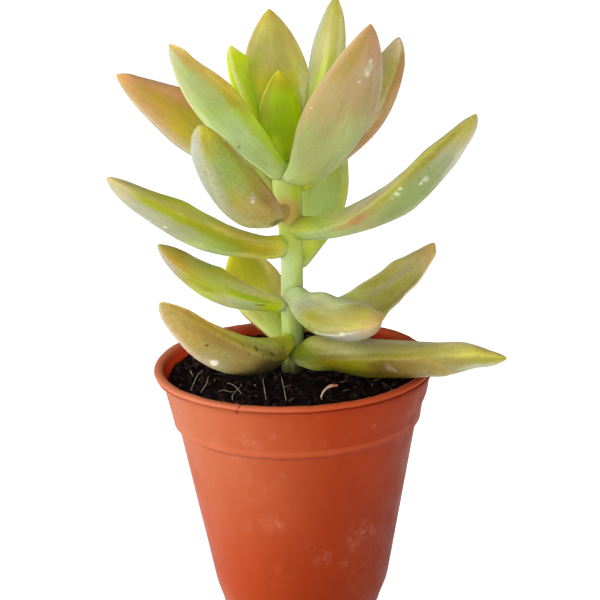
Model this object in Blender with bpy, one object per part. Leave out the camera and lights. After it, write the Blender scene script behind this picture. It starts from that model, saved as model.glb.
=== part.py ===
"""Potted sedum: a leafy succulent cutting growing in a small round plastic
nursery pot.

Frame: metres, +Z up.  The origin is the centre of the pot's flat underside,
and -Y is the side that faces the viewer.  +X is to the viewer's right.
The design tables below are in millimetres and degrees and are scaled by MM.
"""
import bpy
import bmesh
import math
from mathutils import Vector

MM = 0.001
GAP = 0.3                     # clearance kept between neighbouring pieces

# ---------------------------------------------------------------- pot
POT_HEIGHT = 50.0
RIM_OUTER_R = 27.5            # outside of the rolled rim
RIM_INNER_R = 25.7
RIM_BEAD_H = 2.0              # height of the rolled rim
COLLAR_TOP_R = 25.9           # collar under the rim, outside
COLLAR_BOTTOM_R = 24.3
COLLAR_BOTTOM_Z = 39.4
BODY_TOP_R = 23.4             # tapered body below the collar's step
BASE_R = 16.3
WALL = 0.85
FLOOR = 1.3
POT_SEGMENTS = 48
DRAIN_HOLES = 6
DRAIN_R = 1.7
DRAIN_CIRCLE_R = 10.5

# ---------------------------------------------------------------- soil
SOIL_EDGE_Z = 47.0            # 3 mm below the rim at the wall
SOIL_CROWN_Z = 48.6           # mounded up to the stem
SOIL_SEGMENTS = 40
WELL_DEPTH = 5.5              # the stem's buried foot stands in this well

# ---------------------------------------------------------------- stem
STEM_R = 2.15
STEM_TIP_R = 1.40             # at the growing tip, inside the rosette
STEM_TAPER_FROM = 79.0
STEM_FOOT_Z = 43.4
STEM_TOP_Z = 89.9
STEM_SEGMENTS = 14

# ---------------------------------------------------------------- leaves
LEAF_RINGS = 11
LEAF_SIDES = 12
UPPER_SHARE = 0.38            # share of the thickness above the margins
KEEL = 0.25                   # how much the underside is a keel, not a bow

# One row per leaf, lowest first.
#   h        height of the attachment on the stem (mm above the base)
#   az       heading at the base and at the tip (0 = +X, 90 = +Y)
#   el       rise above the horizontal at the base and at the tip
#   size     length, greatest width, greatest thickness
#   roll     twist of the blade about its own midrib at the base and the tip
#   bend     how soon the rise comes: below 1 near the base, above 1 late
#   plan     width at the base as a share of the greatest width, where along
#            the leaf the greatest width is, and how blunt the tip is
#   depth    the same first two shares for the thickness
LEAVES = {
    "leaf_01_low_right":    dict(h=51.5, az=(-33, -30), el=(10, 6), size=(45, 11.8, 7.4), roll=(4, -20),
                                 bend=1.10, plan=(0.40, 0.57, 0.75), depth=(0.42, 0.37)),
    "leaf_02_low_back":     dict(h=53.8, az=(112, 106), el=(12, 42), size=(29, 11.8, 5.5), roll=(-2, 4),
                                 bend=0.95, plan=(0.38, 0.55, 0.70), depth=(0.55, 0.43)),
    "leaf_03_low_left":     dict(h=54.5, az=(253, 213), el=(6, 50), size=(44, 13.3, 7.8), roll=(-21, 17),
                                 bend=1.25, plan=(0.28, 0.49, 0.66), depth=(0.64, 0.52)),
    "leaf_04_back_right":   dict(h=57.4, az=(36, 29), el=(-12, 43), size=(35, 11.8, 6.2), roll=(3, 6),
                                 bend=0.80, plan=(0.36, 0.40, 0.66), depth=(0.50, 0.36), out=0.3),
    "leaf_05_second_left":  dict(h=62.4, az=(218, 182), el=(20, 41), size=(28.5, 11.1, 5.7), roll=(-7, -12),
                                 bend=0.80, plan=(0.36, 0.51, 0.71), depth=(0.56, 0.44)),
    "leaf_06_short_front":  dict(h=64.2, az=(-65, -34), el=(-8, 8), size=(24.6, 12.5, 6.4), roll=(9, 13),
                                 bend=1.20, plan=(0.40, 0.59, 0.66), depth=(0.65, 0.70), out=0.3),
    "leaf_07_mid_back":     dict(h=69.6, az=(59, 62), el=(24, 85), size=(32, 10.6, 5.7), roll=(-6, -9),
                                 bend=0.85, plan=(0.38, 0.40, 0.81), depth=(0.50, 0.41)),
    "leaf_08_long_left":    dict(h=74.0, az=(216, 206), el=(-4, 36), size=(41, 11.7, 6.4), roll=(0, 5),
                                 bend=0.25, plan=(0.38, 0.57, 0.74), depth=(0.66, 0.48), out=0.3),
    "leaf_09_long_right":   dict(h=77.7, az=(-29, -37), el=(-6, 51), size=(47, 12.9, 6.2), roll=(7, -8),
                                 bend=0.44, plan=(0.46, 0.55, 0.72), depth=(0.75, 0.54), out=0.3),
    "leaf_10_stout_front":  dict(h=80.9, az=(251, 230), el=(8, 64), size=(40, 13.0, 8.0), roll=(-24, 17),
                                 bend=0.90, plan=(0.16, 0.51, 0.60), depth=(0.48, 0.49)),
    "leaf_11_far_left":     dict(h=81.9, az=(144, 150), el=(40, 20), size=(43, 14.4, 6.2), roll=(-7, -11),
                                 bend=1.10, plan=(0.40, 0.52, 0.81), depth=(0.55, 0.45)),
    "leaf_12_right_behind": dict(h=85.4, az=(20, 32), el=(36, 66), size=(34.5, 11.6, 6.0), roll=(0, 0),
                                 bend=1.10, plan=(0.36, 0.56, 0.72), depth=(0.45, 0.53)),
    "leaf_13_broad_right":  dict(h=86.9, az=(-65, -42), el=(1, 69), size=(43.5, 14.6, 6.8), roll=(-20, -10),
                                 bend=0.33, plan=(0.38, 0.58, 0.87), depth=(0.24, 0.25)),
    "leaf_14_broad_left":   dict(h=89.0, az=(223, 196), el=(44, 56), size=(35, 13.0, 6.4), roll=(20, 16),
                                 bend=0.88, plan=(0.41, 0.61, 0.87), depth=(0.58, 0.44)),
    "leaf_15_crown_back":   dict(h=86.8, az=(95, 104), el=(45, 76), size=(34.3, 13.4, 6.0), roll=(-1, 6),
                                 bend=1.00, plan=(0.32, 0.50, 0.84), depth=(0.55, 0.45)),
    "leaf_16_crown_right":  dict(h=88.8, az=(30, 51), el=(66, 78), size=(33.2, 9.4, 5.4), roll=(-12, -11),
                                 bend=0.93, plan=(0.30, 0.61, 0.77), depth=(0.45, 0.44)),
    "leaf_17_young_left":   dict(h=88.1, az=(151, 146), el=(63, 72.5), size=(25.2, 6.0, 3.0), roll=(30, -12),
                                 bend=0.60, plan=(0.36, 0.65, 0.60), depth=(0.49, 0.44), out=0.5),
    "leaf_18_young_centre": dict(h=89.8, az=(116, 118), el=(84, 91), size=(17.6, 9.0, 3.8), roll=(0, 0),
                                 bend=1.00, plan=(0.34, 0.45, 0.85), depth=(0.45, 0.45)),
}

# ---------------------------------------------------------------- dry stalk
# A short, dried, hooked stalk that leans out of the soil near the front.
STALK_PATH = ((4.9, -18.0, 48.0), (5.2, -17.0, 48.8), (5.9, -16.1, 49.4),
              (6.9, -15.4, 49.7), (8.2, -14.9, 49.6))
STALK_R = (0.28, 0.26, 0.28, 0.45, 0.34)


# ================================================================ helpers
def clear_scene():
    for ob in list(bpy.data.objects):
        bpy.data.objects.remove(ob, do_unlink=True)


def material(name, rgb, rough, metal=0.0):
    m = bpy.data.materials.new(name)
    m.use_nodes = True
    b = m.node_tree.nodes["Principled BSDF"]
    b.inputs["Base Color"].default_value = (rgb[0], rgb[1], rgb[2], 1.0)
    b.inputs["Roughness"].default_value = rough
    b.inputs["Metallic"].default_value = metal
    return m


def add_object(name, verts, faces, mat):
    """Mesh object from points in millimetres."""
    me = bpy.data.meshes.new(name)
    me.from_pydata([Vector(v) * MM for v in verts], [], faces)
    bm = bmesh.new()
    bm.from_mesh(me)
    bmesh.ops.recalc_face_normals(bm, faces=bm.faces)
    bm.to_mesh(me)
    bm.free()
    me.shade_smooth()
    me.set_sharp_from_angle(angle=math.radians(38))
    ob = bpy.data.objects.new(name, me)
    bpy.context.scene.collection.objects.link(ob)
    ob.data.materials.append(mat)
    return ob


def smooth(t):
    t = min(max(t, 0.0), 1.0)
    return t * t * (3.0 - 2.0 * t)


def skin(rings, first_point=None, last_point=None):
    """Closed skin over equal rings of points, ends capped or drawn to a point."""
    m = len(rings[0])
    verts = [p for r in rings for p in r]
    faces = []
    for i in range(len(rings) - 1):
        for j in range(m):
            k = (j + 1) % m
            faces.append((i * m + j, i * m + k, (i + 1) * m + k, (i + 1) * m + j))
    for end, point in ((0, first_point), (len(rings) - 1, last_point)):
        ring = [end * m + j for j in range(m)]
        if point is None:
            faces.append(tuple(ring))
        else:
            verts.append(point)
            c = len(verts) - 1
            for j in range(m):
                faces.append((ring[j], ring[(j + 1) % m], c))
    return verts, faces


def ring_about(cx, cy, r, z, segments):
    return [(cx + r * math.cos(2 * math.pi * j / segments),
             cy + r * math.sin(2 * math.pi * j / segments), z) for j in range(segments)]


# ================================================================ stem axis
def stem_centre(z):
    """The stem leans a little to the right and bows back as it rises."""
    t = (z - 48.0) / 40.0
    return -1.2 + 1.0 * t, 0.6 * math.sin(1.5 * t)


def stem_radius(z):
    return STEM_R - (STEM_R - STEM_TIP_R) * smooth((z - STEM_TAPER_FROM) / 12.0)


# ================================================================ pot
def pot_profile():
    """Half section of the pot, from the underside's centre ring round to the
    floor's inside centre ring."""
    z = POT_HEIGHT
    under = z - RIM_BEAD_H
    outer = [
        (BASE_R - 0.5, 0.0), (BASE_R, 0.45),
        (BODY_TOP_R, COLLAR_BOTTOM_Z - 0.9),
        (COLLAR_BOTTOM_R, COLLAR_BOTTOM_Z + 0.1),
        (COLLAR_TOP_R, under - 0.3),
        (RIM_OUTER_R - 0.5, under), (RIM_OUTER_R, under + 0.6),
        (RIM_OUTER_R - 0.05, z - 0.65), (RIM_OUTER_R - 0.45, z - 0.12),
        (RIM_OUTER_R - 1.0, z), (RIM_INNER_R + 0.2, z - 0.25),
    ]
    inner = [
        (RIM_INNER_R, z - 0.9),
        (COLLAR_BOTTOM_R - WALL + 0.05, COLLAR_BOTTOM_Z + 0.4),
        (BODY_TOP_R - WALL, COLLAR_BOTTOM_Z - 0.8),
        (BASE_R - WALL + 0.25, FLOOR + 0.6), (BASE_R - WALL - 0.3, FLOOR),
    ]
    return outer, inner


def pot_inner_radius(z):
    _, inner = pot_profile()
    pts = sorted((zz, r) for r, zz in inner)
    if z <= pts[0][0]:
        return pts[0][1]
    for (z0, r0), (z1, r1) in zip(pts, pts[1:]):
        if z <= z1:
            return r0 + (r1 - r0) * (z - z0) / (z1 - z0)
    return pts[-1][1]


def build_pot():
    outer, inner = pot_profile()
    n = POT_SEGMENTS
    rings = [ring_about(0, 0, r, z, n) for r, z in outer + inner]
    verts, faces = skin(rings, (0, 0, 0), (0, 0, FLOOR))
    pot = add_object("pot", verts, faces, material("pot_plastic", (0.62, 0.20, 0.10), 0.42))
    # round drainage holes in the floor, in a ring well clear of the centre
    bits_v, bits_f = [], []
    for i in range(DRAIN_HOLES):
        a = 2 * math.pi * (i + 0.5) / DRAIN_HOLES
        cx, cy = DRAIN_CIRCLE_R * math.cos(a), DRAIN_CIRCLE_R * math.sin(a)
        v, f = skin([ring_about(cx, cy, DRAIN_R, -2.0, 12), ring_about(cx, cy, DRAIN_R, FLOOR + 2.0, 12)])
        off = len(bits_v)
        bits_v += v
        bits_f += [tuple(i2 + off for i2 in q) for q in f]
    cutter = add_object("drain_cutter", bits_v, bits_f, material("cutter", (0.5, 0.5, 0.5), 0.5))
    cutter.hide_render = True
    cutter.display_type = 'WIRE'
    mod = pot.modifiers.new("drain_holes", 'BOOLEAN')
    mod.operation = 'DIFFERENCE'
    mod.object = cutter
    return pot


# ================================================================ soil
def soil_top(r, phi):
    """Potting mix: a low mound with gentle unevenness."""
    edge = pot_inner_radius(SOIL_EDGE_Z) - GAP
    t = min(r / edge, 1.0)
    z = SOIL_CROWN_Z + (SOIL_EDGE_Z - SOIL_CROWN_Z) * t * t
    return z + 0.18 * math.sin(3 * phi + 0.7) * math.sin(math.pi * t)


def build_soil():
    n = SOIL_SEGMENTS
    edge = pot_inner_radius(SOIL_EDGE_Z) - GAP
    wall = [(BASE_R - WALL - 0.6, FLOOR + GAP), (BASE_R - WALL - 0.1, FLOOR + 1.0),
            (pot_inner_radius(COLLAR_BOTTOM_Z - 1.4) - GAP, COLLAR_BOTTOM_Z - 1.4),
            (pot_inner_radius(COLLAR_BOTTOM_Z + 0.4) - GAP - 0.15, COLLAR_BOTTOM_Z + 0.7),
            (edge, SOIL_EDGE_Z)]
    rings = [ring_about(0, 0, r, z, n) for r, z in wall]
    sx, sy = stem_centre(SOIL_CROWN_Z - WELL_DEPTH / 2)
    well_r = STEM_R + GAP + 0.15
    steps = (0.86, 0.68, 0.48, 0.30, 0.12)
    for t in steps:
        ring = []
        r = well_r + (edge - well_r) * t
        for j in range(n):
            phi = 2 * math.pi * j / n
            x, y = sx * (1 - t) + r * math.cos(phi), sy * (1 - t) + r * math.sin(phi)
            ring.append((x, y, soil_top(math.hypot(x, y), phi)))
        rings.append(ring)
    lip = SOIL_CROWN_Z - 0.1
    rings.append(ring_about(sx, sy, well_r, lip, n))
    rings.append(ring_about(sx, sy, well_r, SOIL_CROWN_Z - WELL_DEPTH, n))
    verts, faces = skin(rings, (0, 0, FLOOR + GAP), (sx, sy, SOIL_CROWN_Z - WELL_DEPTH))
    return add_object("soil", verts, faces, material("potting_soil", (0.022, 0.014, 0.010), 0.95))


# ================================================================ stem
def build_stem():
    """Round green stem with a slight swelling at each leaf's attachment."""
    heights = [STEM_FOOT_Z + (STEM_TOP_Z - 0.6 - STEM_FOOT_Z) * i / 21.0 for i in range(22)]
    rings = []
    for z in heights:
        cx, cy = stem_centre(z)
        rings.append(ring_about(cx, cy, stem_radius(z), z, STEM_SEGMENTS))
    cx, cy = stem_centre(STEM_TOP_Z)
    rings.append(ring_about(cx, cy, 0.7 * STEM_TIP_R, STEM_TOP_Z - 0.15, STEM_SEGMENTS))
    fx, fy = stem_centre(STEM_FOOT_Z)
    verts, faces = skin(rings, (fx, fy, STEM_FOOT_Z), (cx, cy, STEM_TOP_Z))
    return add_object("stem", verts, faces, material("stem_green", (0.46, 0.60, 0.22), 0.45))


# ================================================================ leaves
def swell(s, at_base, peak, blunt):
    """Share of the greatest width (or thickness) at s along the leaf."""
    if s < peak:
        return at_base + (1 - at_base) * smooth(s / peak) ** 0.9
    u = (s - peak) / (1 - peak)
    return max(1 - u * u, 0.0) ** blunt


def leaf_frame(spec, samples=60):
    """Midrib points with the blade's heading, side and up directions."""
    L, W, T = spec["size"]
    az0, az1 = (math.radians(a) for a in spec["az"])
    el0, el1 = (math.radians(a) for a in spec["el"])
    ro0, ro1 = (math.radians(a) for a in spec["roll"])
    cx, cy = stem_centre(spec["h"])
    # the blade starts just clear of the stem's side, further out if it stands steeply
    reach = (stem_radius(spec["h"]) + GAP + spec.get("out", 0.0)
             + UPPER_SHARE * T * spec["depth"][0] * math.sin(max(el0, 0.0)))
    pos = Vector((cx + reach * math.cos(az0), cy + reach * math.sin(az0), spec["h"]))
    out, last = [], None
    for i in range(samples + 1):
        s = i / samples
        az = az0 + (az1 - az0) * s
        el = el0 + (el1 - el0) * s ** spec["bend"]
        ro = ro0 + (ro1 - ro0) * s
        d = Vector((math.cos(el) * math.cos(az), math.cos(el) * math.sin(az), math.sin(el)))
        if last is not None:
            pos = pos + (d + last) * 0.5 * (L / samples)
        last = d
        side = Vector((-math.sin(az), math.cos(az), 0.0))
        up = d.cross(side)
        side2 = side * math.cos(ro) + up * math.sin(ro)
        up2 = up * math.cos(ro) - side * math.sin(ro)
        out.append((s, pos.copy(), side2, up2))
    return out


def leaf_section(phi, half_width, thick):
    """Plump lens: low-crowned above, keeled below."""
    c, sn = math.cos(phi), math.sin(phi)
    x = half_width * c
    if sn >= 0:
        z = UPPER_SHARE * thick * abs(sn) ** 1.15
    else:
        z = -(1 - UPPER_SHARE) * thick * ((1 - KEEL) * abs(sn) ** 1.1 + KEEL * (1 - abs(c)))
    return x, z


def build_leaf(name, spec, mat):
    frame = leaf_frame(spec)
    n = len(frame) - 1
    L, W, T = spec["size"]
    base_w, peak_w, blunt = spec["plan"]
    base_t, peak_t = spec["depth"]
    rings = []
    for i in range(LEAF_RINGS):
        u = i / (LEAF_RINGS - 1)
        s = 0.975 * (0.75 * u + 0.25 * math.sin(0.5 * math.pi * u))
        k = min(int(s * n), n - 1)
        f = s * n - k
        p = frame[k][1].lerp(frame[k + 1][1], f)
        side = frame[k][2].lerp(frame[k + 1][2], f).normalized()
        up = frame[k][3].lerp(frame[k + 1][3], f).normalized()
        hw = 0.5 * W * swell(s, base_w, peak_w, blunt)
        th = T * swell(s, base_t, peak_t, 0.62)
        ring = []
        for j in range(LEAF_SIDES):
            x, z = leaf_section(2 * math.pi * j / LEAF_SIDES, hw, th)
            ring.append(tuple(p + side * x + up * z))
        rings.append(ring)
    verts, faces = skin(rings, None, tuple(frame[n][1]))
    return add_object(name, verts, faces, mat)


# ================================================================ dry stalk
def build_stalk():
    pts = [Vector(p) for p in STALK_PATH]
    rings = []
    for i, p in enumerate(pts):
        d = (pts[min(i + 1, len(pts) - 1)] - pts[max(i - 1, 0)]).normalized()
        a = d.cross(Vector((0, 0, 1))).normalized()
        b = d.cross(a)
        rings.append([tuple(p + (a * math.cos(t) + b * math.sin(t)) * STALK_R[i])
                      for t in (2 * math.pi * j / 8 for j in range(8))])
    verts, faces = skin(rings)
    return add_object("dry_stalk", verts, faces, material("dry_stalk", (0.62, 0.34, 0.20), 0.7))


# ================================================================ build
def main():
    clear_scene()
    build_pot()
    build_soil()
    build_stem()
    for name, spec in LEAVES.items():
        build_leaf(name, spec, material(name, LEAF_COLOURS[name], 0.42))
    build_stalk()


LEAF_COLOURS = {
    "leaf_01_low_right": (0.46, 0.43, 0.13), "leaf_02_low_back": (0.50, 0.46, 0.08),
    "leaf_03_low_left": (0.52, 0.43, 0.18), "leaf_04_back_right": (0.42, 0.42, 0.12),
    "leaf_05_second_left": (0.45, 0.48, 0.14), "leaf_06_short_front": (0.58, 0.58, 0.28),
    "leaf_07_mid_back": (0.38, 0.52, 0.16), "leaf_08_long_left": (0.48, 0.52, 0.14),
    "leaf_09_long_right": (0.50, 0.54, 0.22), "leaf_10_stout_front": (0.44, 0.48, 0.22),
    "leaf_11_far_left": (0.60, 0.46, 0.22), "leaf_12_right_behind": (0.55, 0.46, 0.22),
    "leaf_13_broad_right": (0.58, 0.52, 0.32), "leaf_14_broad_left": (0.50, 0.62, 0.28),
    "leaf_15_crown_back": (0.52, 0.52, 0.14), "leaf_16_crown_right": (0.52, 0.64, 0.20),
    "leaf_17_young_left": (0.36, 0.62, 0.08), "leaf_18_young_centre": (0.28, 0.56, 0.03),
}

main()
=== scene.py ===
"""Looks of the potted sedum: fine surfaces, materials, light and camera, built
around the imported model, which is loaded as a fixed frame.

Lengths in the design tables are millimetres and angles degrees; MM scales them.
-Y faces the viewer, +X is to the viewer's right, +Z is up.
"""

import math

import bmesh
import bpy
import numpy as np
from mathutils import Matrix, Vector


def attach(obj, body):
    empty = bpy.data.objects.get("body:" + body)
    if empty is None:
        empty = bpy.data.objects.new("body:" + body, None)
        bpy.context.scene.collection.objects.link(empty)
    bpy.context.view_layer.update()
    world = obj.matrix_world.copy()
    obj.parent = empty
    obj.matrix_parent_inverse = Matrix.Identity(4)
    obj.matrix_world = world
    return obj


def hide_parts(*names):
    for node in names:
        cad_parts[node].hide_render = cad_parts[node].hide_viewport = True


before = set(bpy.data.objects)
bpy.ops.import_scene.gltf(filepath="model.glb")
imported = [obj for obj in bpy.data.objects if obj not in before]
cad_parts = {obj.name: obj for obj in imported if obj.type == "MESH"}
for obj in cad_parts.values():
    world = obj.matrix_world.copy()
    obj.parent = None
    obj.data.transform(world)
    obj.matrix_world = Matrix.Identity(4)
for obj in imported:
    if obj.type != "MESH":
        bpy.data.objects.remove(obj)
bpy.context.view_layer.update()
MM = 0.001

# ---------------------------------------------------------------- sizes
# the same driving sizes as the solids
POT_HEIGHT = 50.0
RIM_OUTER_R = 27.5
RIM_INNER_R = 25.7
RIM_BEAD_H = 2.0
COLLAR_TOP_R = 25.9
COLLAR_BOTTOM_R = 24.3
COLLAR_BOTTOM_Z = 38.9
BODY_TOP_R = 23.4
BASE_R = 16.3
WALL = 0.85
FLOOR = 1.3
DRAIN_HOLES = 6
DRAIN_R = 1.7
DRAIN_CIRCLE_R = 10.5
SOIL_EDGE_Z = 48.1
SOIL_CROWN_Z = 48.7
STEM_R = 2.15
STEM_TIP_R = 1.40
STEM_TAPER_FROM = 79.0
STEM_FOOT_Z = 43.4
STEM_TOP_Z = 89.9
GAP = 0.3
UPPER_SHARE = 0.38
KEEL = 0.25

# h: height of the attachment; az, el: heading and rise at base and tip;
# size: length, width, thickness; roll: twist about the midrib;
# bend: how soon the rise comes; plan and depth: the outline's shape
LEAVES = {
    "leaf_01_low_right":    dict(h=51.5, az=(-33, -30), el=(10, 6), size=(45, 11.8, 7.4), roll=(4, -20),
                                 bend=1.10, plan=(0.40, 0.57, 0.75), depth=(0.42, 0.37)),
    "leaf_02_low_back":     dict(h=53.8, az=(112, 106), el=(12, 42), size=(29, 11.8, 5.5), roll=(-2, 4),
                                 bend=0.95, plan=(0.38, 0.55, 0.70), depth=(0.55, 0.43)),
    "leaf_03_low_left":     dict(h=54.5, az=(253, 213), el=(6, 50), size=(44, 13.3, 7.8), roll=(-21, 17),
                                 bend=1.25, plan=(0.28, 0.49, 0.66), depth=(0.64, 0.52)),
    "leaf_04_back_right":   dict(h=57.4, az=(36, 29), el=(-12, 43), size=(35, 11.8, 6.2), roll=(3, 6),
                                 bend=0.80, plan=(0.36, 0.40, 0.66), depth=(0.50, 0.36), out=0.3),
    "leaf_05_second_left":  dict(h=62.4, az=(218, 182), el=(20, 41), size=(28.5, 11.1, 5.7), roll=(-7, -12),
                                 bend=0.80, plan=(0.36, 0.51, 0.71), depth=(0.56, 0.44)),
    "leaf_06_short_front":  dict(h=64.2, az=(-65, -34), el=(-8, 8), size=(24.6, 12.5, 6.4), roll=(9, 13),
                                 bend=1.20, plan=(0.40, 0.59, 0.66), depth=(0.65, 0.70), out=0.3),
    "leaf_07_mid_back":     dict(h=69.6, az=(59, 62), el=(24, 85), size=(32, 10.6, 5.7), roll=(-6, -9),
                                 bend=0.85, plan=(0.38, 0.40, 0.81), depth=(0.50, 0.41)),
    "leaf_08_long_left":    dict(h=74.0, az=(216, 206), el=(-4, 36), size=(41, 11.7, 6.4), roll=(0, 5),
                                 bend=0.25, plan=(0.38, 0.57, 0.74), depth=(0.66, 0.48), out=0.3),
    "leaf_09_long_right":   dict(h=77.7, az=(-29, -37), el=(-6, 51), size=(47, 12.9, 6.2), roll=(7, -8),
                                 bend=0.44, plan=(0.46, 0.55, 0.72), depth=(0.75, 0.54), out=0.3),
    "leaf_10_stout_front":  dict(h=80.9, az=(251, 230), el=(8, 64), size=(40, 13.0, 8.0), roll=(-24, 17),
                                 bend=0.90, plan=(0.16, 0.51, 0.60), depth=(0.48, 0.49)),
    "leaf_11_far_left":     dict(h=81.9, az=(144, 150), el=(40, 20), size=(43, 14.4, 6.2), roll=(-7, -11),
                                 bend=1.10, plan=(0.40, 0.52, 0.81), depth=(0.55, 0.45)),
    "leaf_12_right_behind": dict(h=85.4, az=(20, 32), el=(36, 66), size=(34.5, 11.6, 6.0), roll=(0, 0),
                                 bend=1.10, plan=(0.36, 0.56, 0.72), depth=(0.45, 0.53)),
    "leaf_13_broad_right":  dict(h=86.9, az=(-65, -42), el=(1, 69), size=(43.5, 14.6, 6.8), roll=(-20, -10),
                                 bend=0.33, plan=(0.38, 0.58, 0.87), depth=(0.24, 0.25)),
    "leaf_14_broad_left":   dict(h=89.0, az=(223, 196), el=(44, 56), size=(35, 13.0, 6.4), roll=(20, 16),
                                 bend=0.88, plan=(0.41, 0.61, 0.87), depth=(0.58, 0.44)),
    "leaf_15_crown_back":   dict(h=86.8, az=(95, 104), el=(45, 76), size=(34.3, 13.4, 6.0), roll=(-1, 6),
                                 bend=1.00, plan=(0.32, 0.50, 0.84), depth=(0.55, 0.45)),
    "leaf_16_crown_right":  dict(h=88.8, az=(30, 51), el=(66, 78), size=(33.2, 9.4, 5.4), roll=(-12, -11),
                                 bend=0.93, plan=(0.30, 0.61, 0.77), depth=(0.45, 0.44)),
    "leaf_17_young_left":   dict(h=88.1, az=(151, 146), el=(63, 72.5), size=(25.2, 6.0, 3.0), roll=(30, -12),
                                 bend=0.60, plan=(0.36, 0.65, 0.60), depth=(0.49, 0.44), out=0.5),
    "leaf_18_young_centre": dict(h=89.8, az=(116, 118), el=(84, 91), size=(17.6, 9.0, 3.8), roll=(0, 0),
                                 bend=1.00, plan=(0.34, 0.45, 0.85), depth=(0.45, 0.45)),
}

STALK_PATH = ((4.5, -18.6, 47.9), (4.7, -17.6, 48.8), (5.4, -16.5, 49.6),
              (6.5, -15.7, 50.0), (7.8, -15.2, 49.9))
STALK_R = (0.17, 0.17, 0.18, 0.29, 0.22)


# ================================================================ small maths
def smooth(t):
    t = np.clip(t, 0.0, 1.0)
    return t * t * (3.0 - 2.0 * t)


def lattice(ix, iy, iz, seed):
    n = (ix * 374761393 + iy * 668265263 + iz * 1442695041 + seed * 974634777) & 0xFFFFFFFF
    n = ((n ^ (n >> 13)) * 1274126177) & 0xFFFFFFFF
    return (n ^ (n >> 16)) / 4294967295.0


def noise(p, size, seed=0):
    """Smooth noise from -1 to 1 at points p, with features of that size."""
    q = np.asarray(p, float) / size + 517.3
    i = np.floor(q).astype(np.int64)
    f = q - i
    f = f * f * f * (f * (f * 6 - 15) + 10)
    out = np.zeros(q.shape[:-1])
    for dx in (0, 1):
        wx = f[..., 0] if dx else 1 - f[..., 0]
        for dy in (0, 1):
            wy = f[..., 1] if dy else 1 - f[..., 1]
            for dz in (0, 1):
                wz = f[..., 2] if dz else 1 - f[..., 2]
                out += wx * wy * wz * lattice(i[..., 0] + dx, i[..., 1] + dy, i[..., 2] + dz, seed)
    return out * 2 - 1


def fractal(p, size, seed=0, octaves=3, gain=0.5):
    out, amp, total = 0.0, 1.0, 0.0
    for k in range(octaves):
        out = out + amp * noise(p, size / 2 ** k, seed + 31 * k)
        total += amp
        amp *= gain
    return out / total


def cells(p, size, seed=0):
    """Distance to the nearest and second nearest scattered point, and the
    nearest one's own random number, for a crumbly surface."""
    q = np.asarray(p, float) / size + 517.3
    i = np.floor(q).astype(np.int64)
    d1 = np.full(q.shape[:-1], 9.0)
    d2 = np.full(q.shape[:-1], 9.0)
    who = np.zeros(q.shape[:-1])
    for dx in (-1, 0, 1):
        for dy in (-1, 0, 1):
            for dz in (-1, 0, 1):
                c = i + np.array((dx, dy, dz))
                o = np.stack([lattice(c[..., 0], c[..., 1], c[..., 2], seed + k) for k in (0, 1, 2)], -1)
                d = np.linalg.norm(c + o - q, axis=-1)
                nearer = d < d1
                d2 = np.where(nearer, d1, np.minimum(d2, d))
                who = np.where(nearer, lattice(c[..., 0], c[..., 1], c[..., 2], seed + 7), who)
                d1 = np.where(nearer, d, d1)
    return d1, d2, who


def unit(v):
    return v / np.maximum(np.linalg.norm(v, axis=-1, keepdims=True), 1e-12)


# ================================================================ mesh building
def finish_mesh(name, me, sharp=None):
    """Faces point outwards, smooth shading, in an object of its own."""
    bm = bmesh.new()
    bm.from_mesh(me)
    if bm.calc_volume(signed=True) < 0:
        bmesh.ops.reverse_faces(bm, faces=bm.faces)
    bm.to_mesh(me)
    bm.free()
    me.shade_smooth()
    if sharp:
        me.set_sharp_from_angle(angle=math.radians(sharp))
    ob = bpy.data.objects.new(name, me)
    bpy.context.scene.collection.objects.link(ob)
    return ob


def ring_skin(name, P, first=None, last=None, u=None, v=None, sharp=None, uv_name="surface"):
    """Closed skin over a grid of points P[ring, side] in millimetres.  The ends
    are drawn to a point, or left open where none is given.  u runs along the
    rings and v round them, as a UV map."""
    nr, nc = P.shape[:2]
    verts = P.reshape(-1, 3)
    i, j = np.meshgrid(np.arange(nr - 1), np.arange(nc), indexing="ij")
    k = (j + 1) % nc
    quads = np.stack([i * nc + j, i * nc + k, (i + 1) * nc + k, (i + 1) * nc + j], -1).reshape(-1, 4)
    faces = quads.tolist()
    u = np.linspace(0, 1, nr) if u is None else np.asarray(u, float)
    v = np.linspace(0, 1, nc + 1) if v is None else np.asarray(v, float)
    quv = np.stack([np.stack([u[i], v[j]], -1), np.stack([u[i], v[j + 1]], -1),
                    np.stack([u[i + 1], v[j + 1]], -1), np.stack([u[i + 1], v[j]], -1)], -2).reshape(-1, 2)
    loops = [quv]
    verts = verts.tolist()
    for end, point in ((0, first), (nr - 1, last)):
        if point is None:
            continue
        verts.append(list(point))
        c = len(verts) - 1
        for a in range(nc):
            b = (a + 1) % nc
            mid = 0.5 * (v[a] + v[a + 1])
            if end == 0:
                faces.append([b, a, c])
                loops.append(np.array([[u[0], v[a + 1]], [u[0], v[a]], [u[0], mid]]))
            else:
                faces.append([end * nc + a, end * nc + b, c])
                loops.append(np.array([[u[-1], v[a]], [u[-1], v[a + 1]], [u[-1], mid]]))
    me = bpy.data.meshes.new(name)
    me.from_pydata((np.array(verts) * MM).tolist(), [], faces)
    layer = me.uv_layers.new(name=uv_name)
    layer.data.foreach_set("uv", np.concatenate(loops).astype(np.float32).ravel())
    return finish_mesh(name, me, sharp)


def grid_normals(P):
    """Unit normals of a grid closed round its second index."""
    du = np.gradient(P, axis=0)
    dv = np.roll(P, -1, 1) - np.roll(P, 1, 1)
    n = unit(np.cross(du, dv))
    out = P - P.mean(1, keepdims=True)
    return n * np.where((n * out).sum(-1).mean() < 0, -1.0, 1.0)


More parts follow.
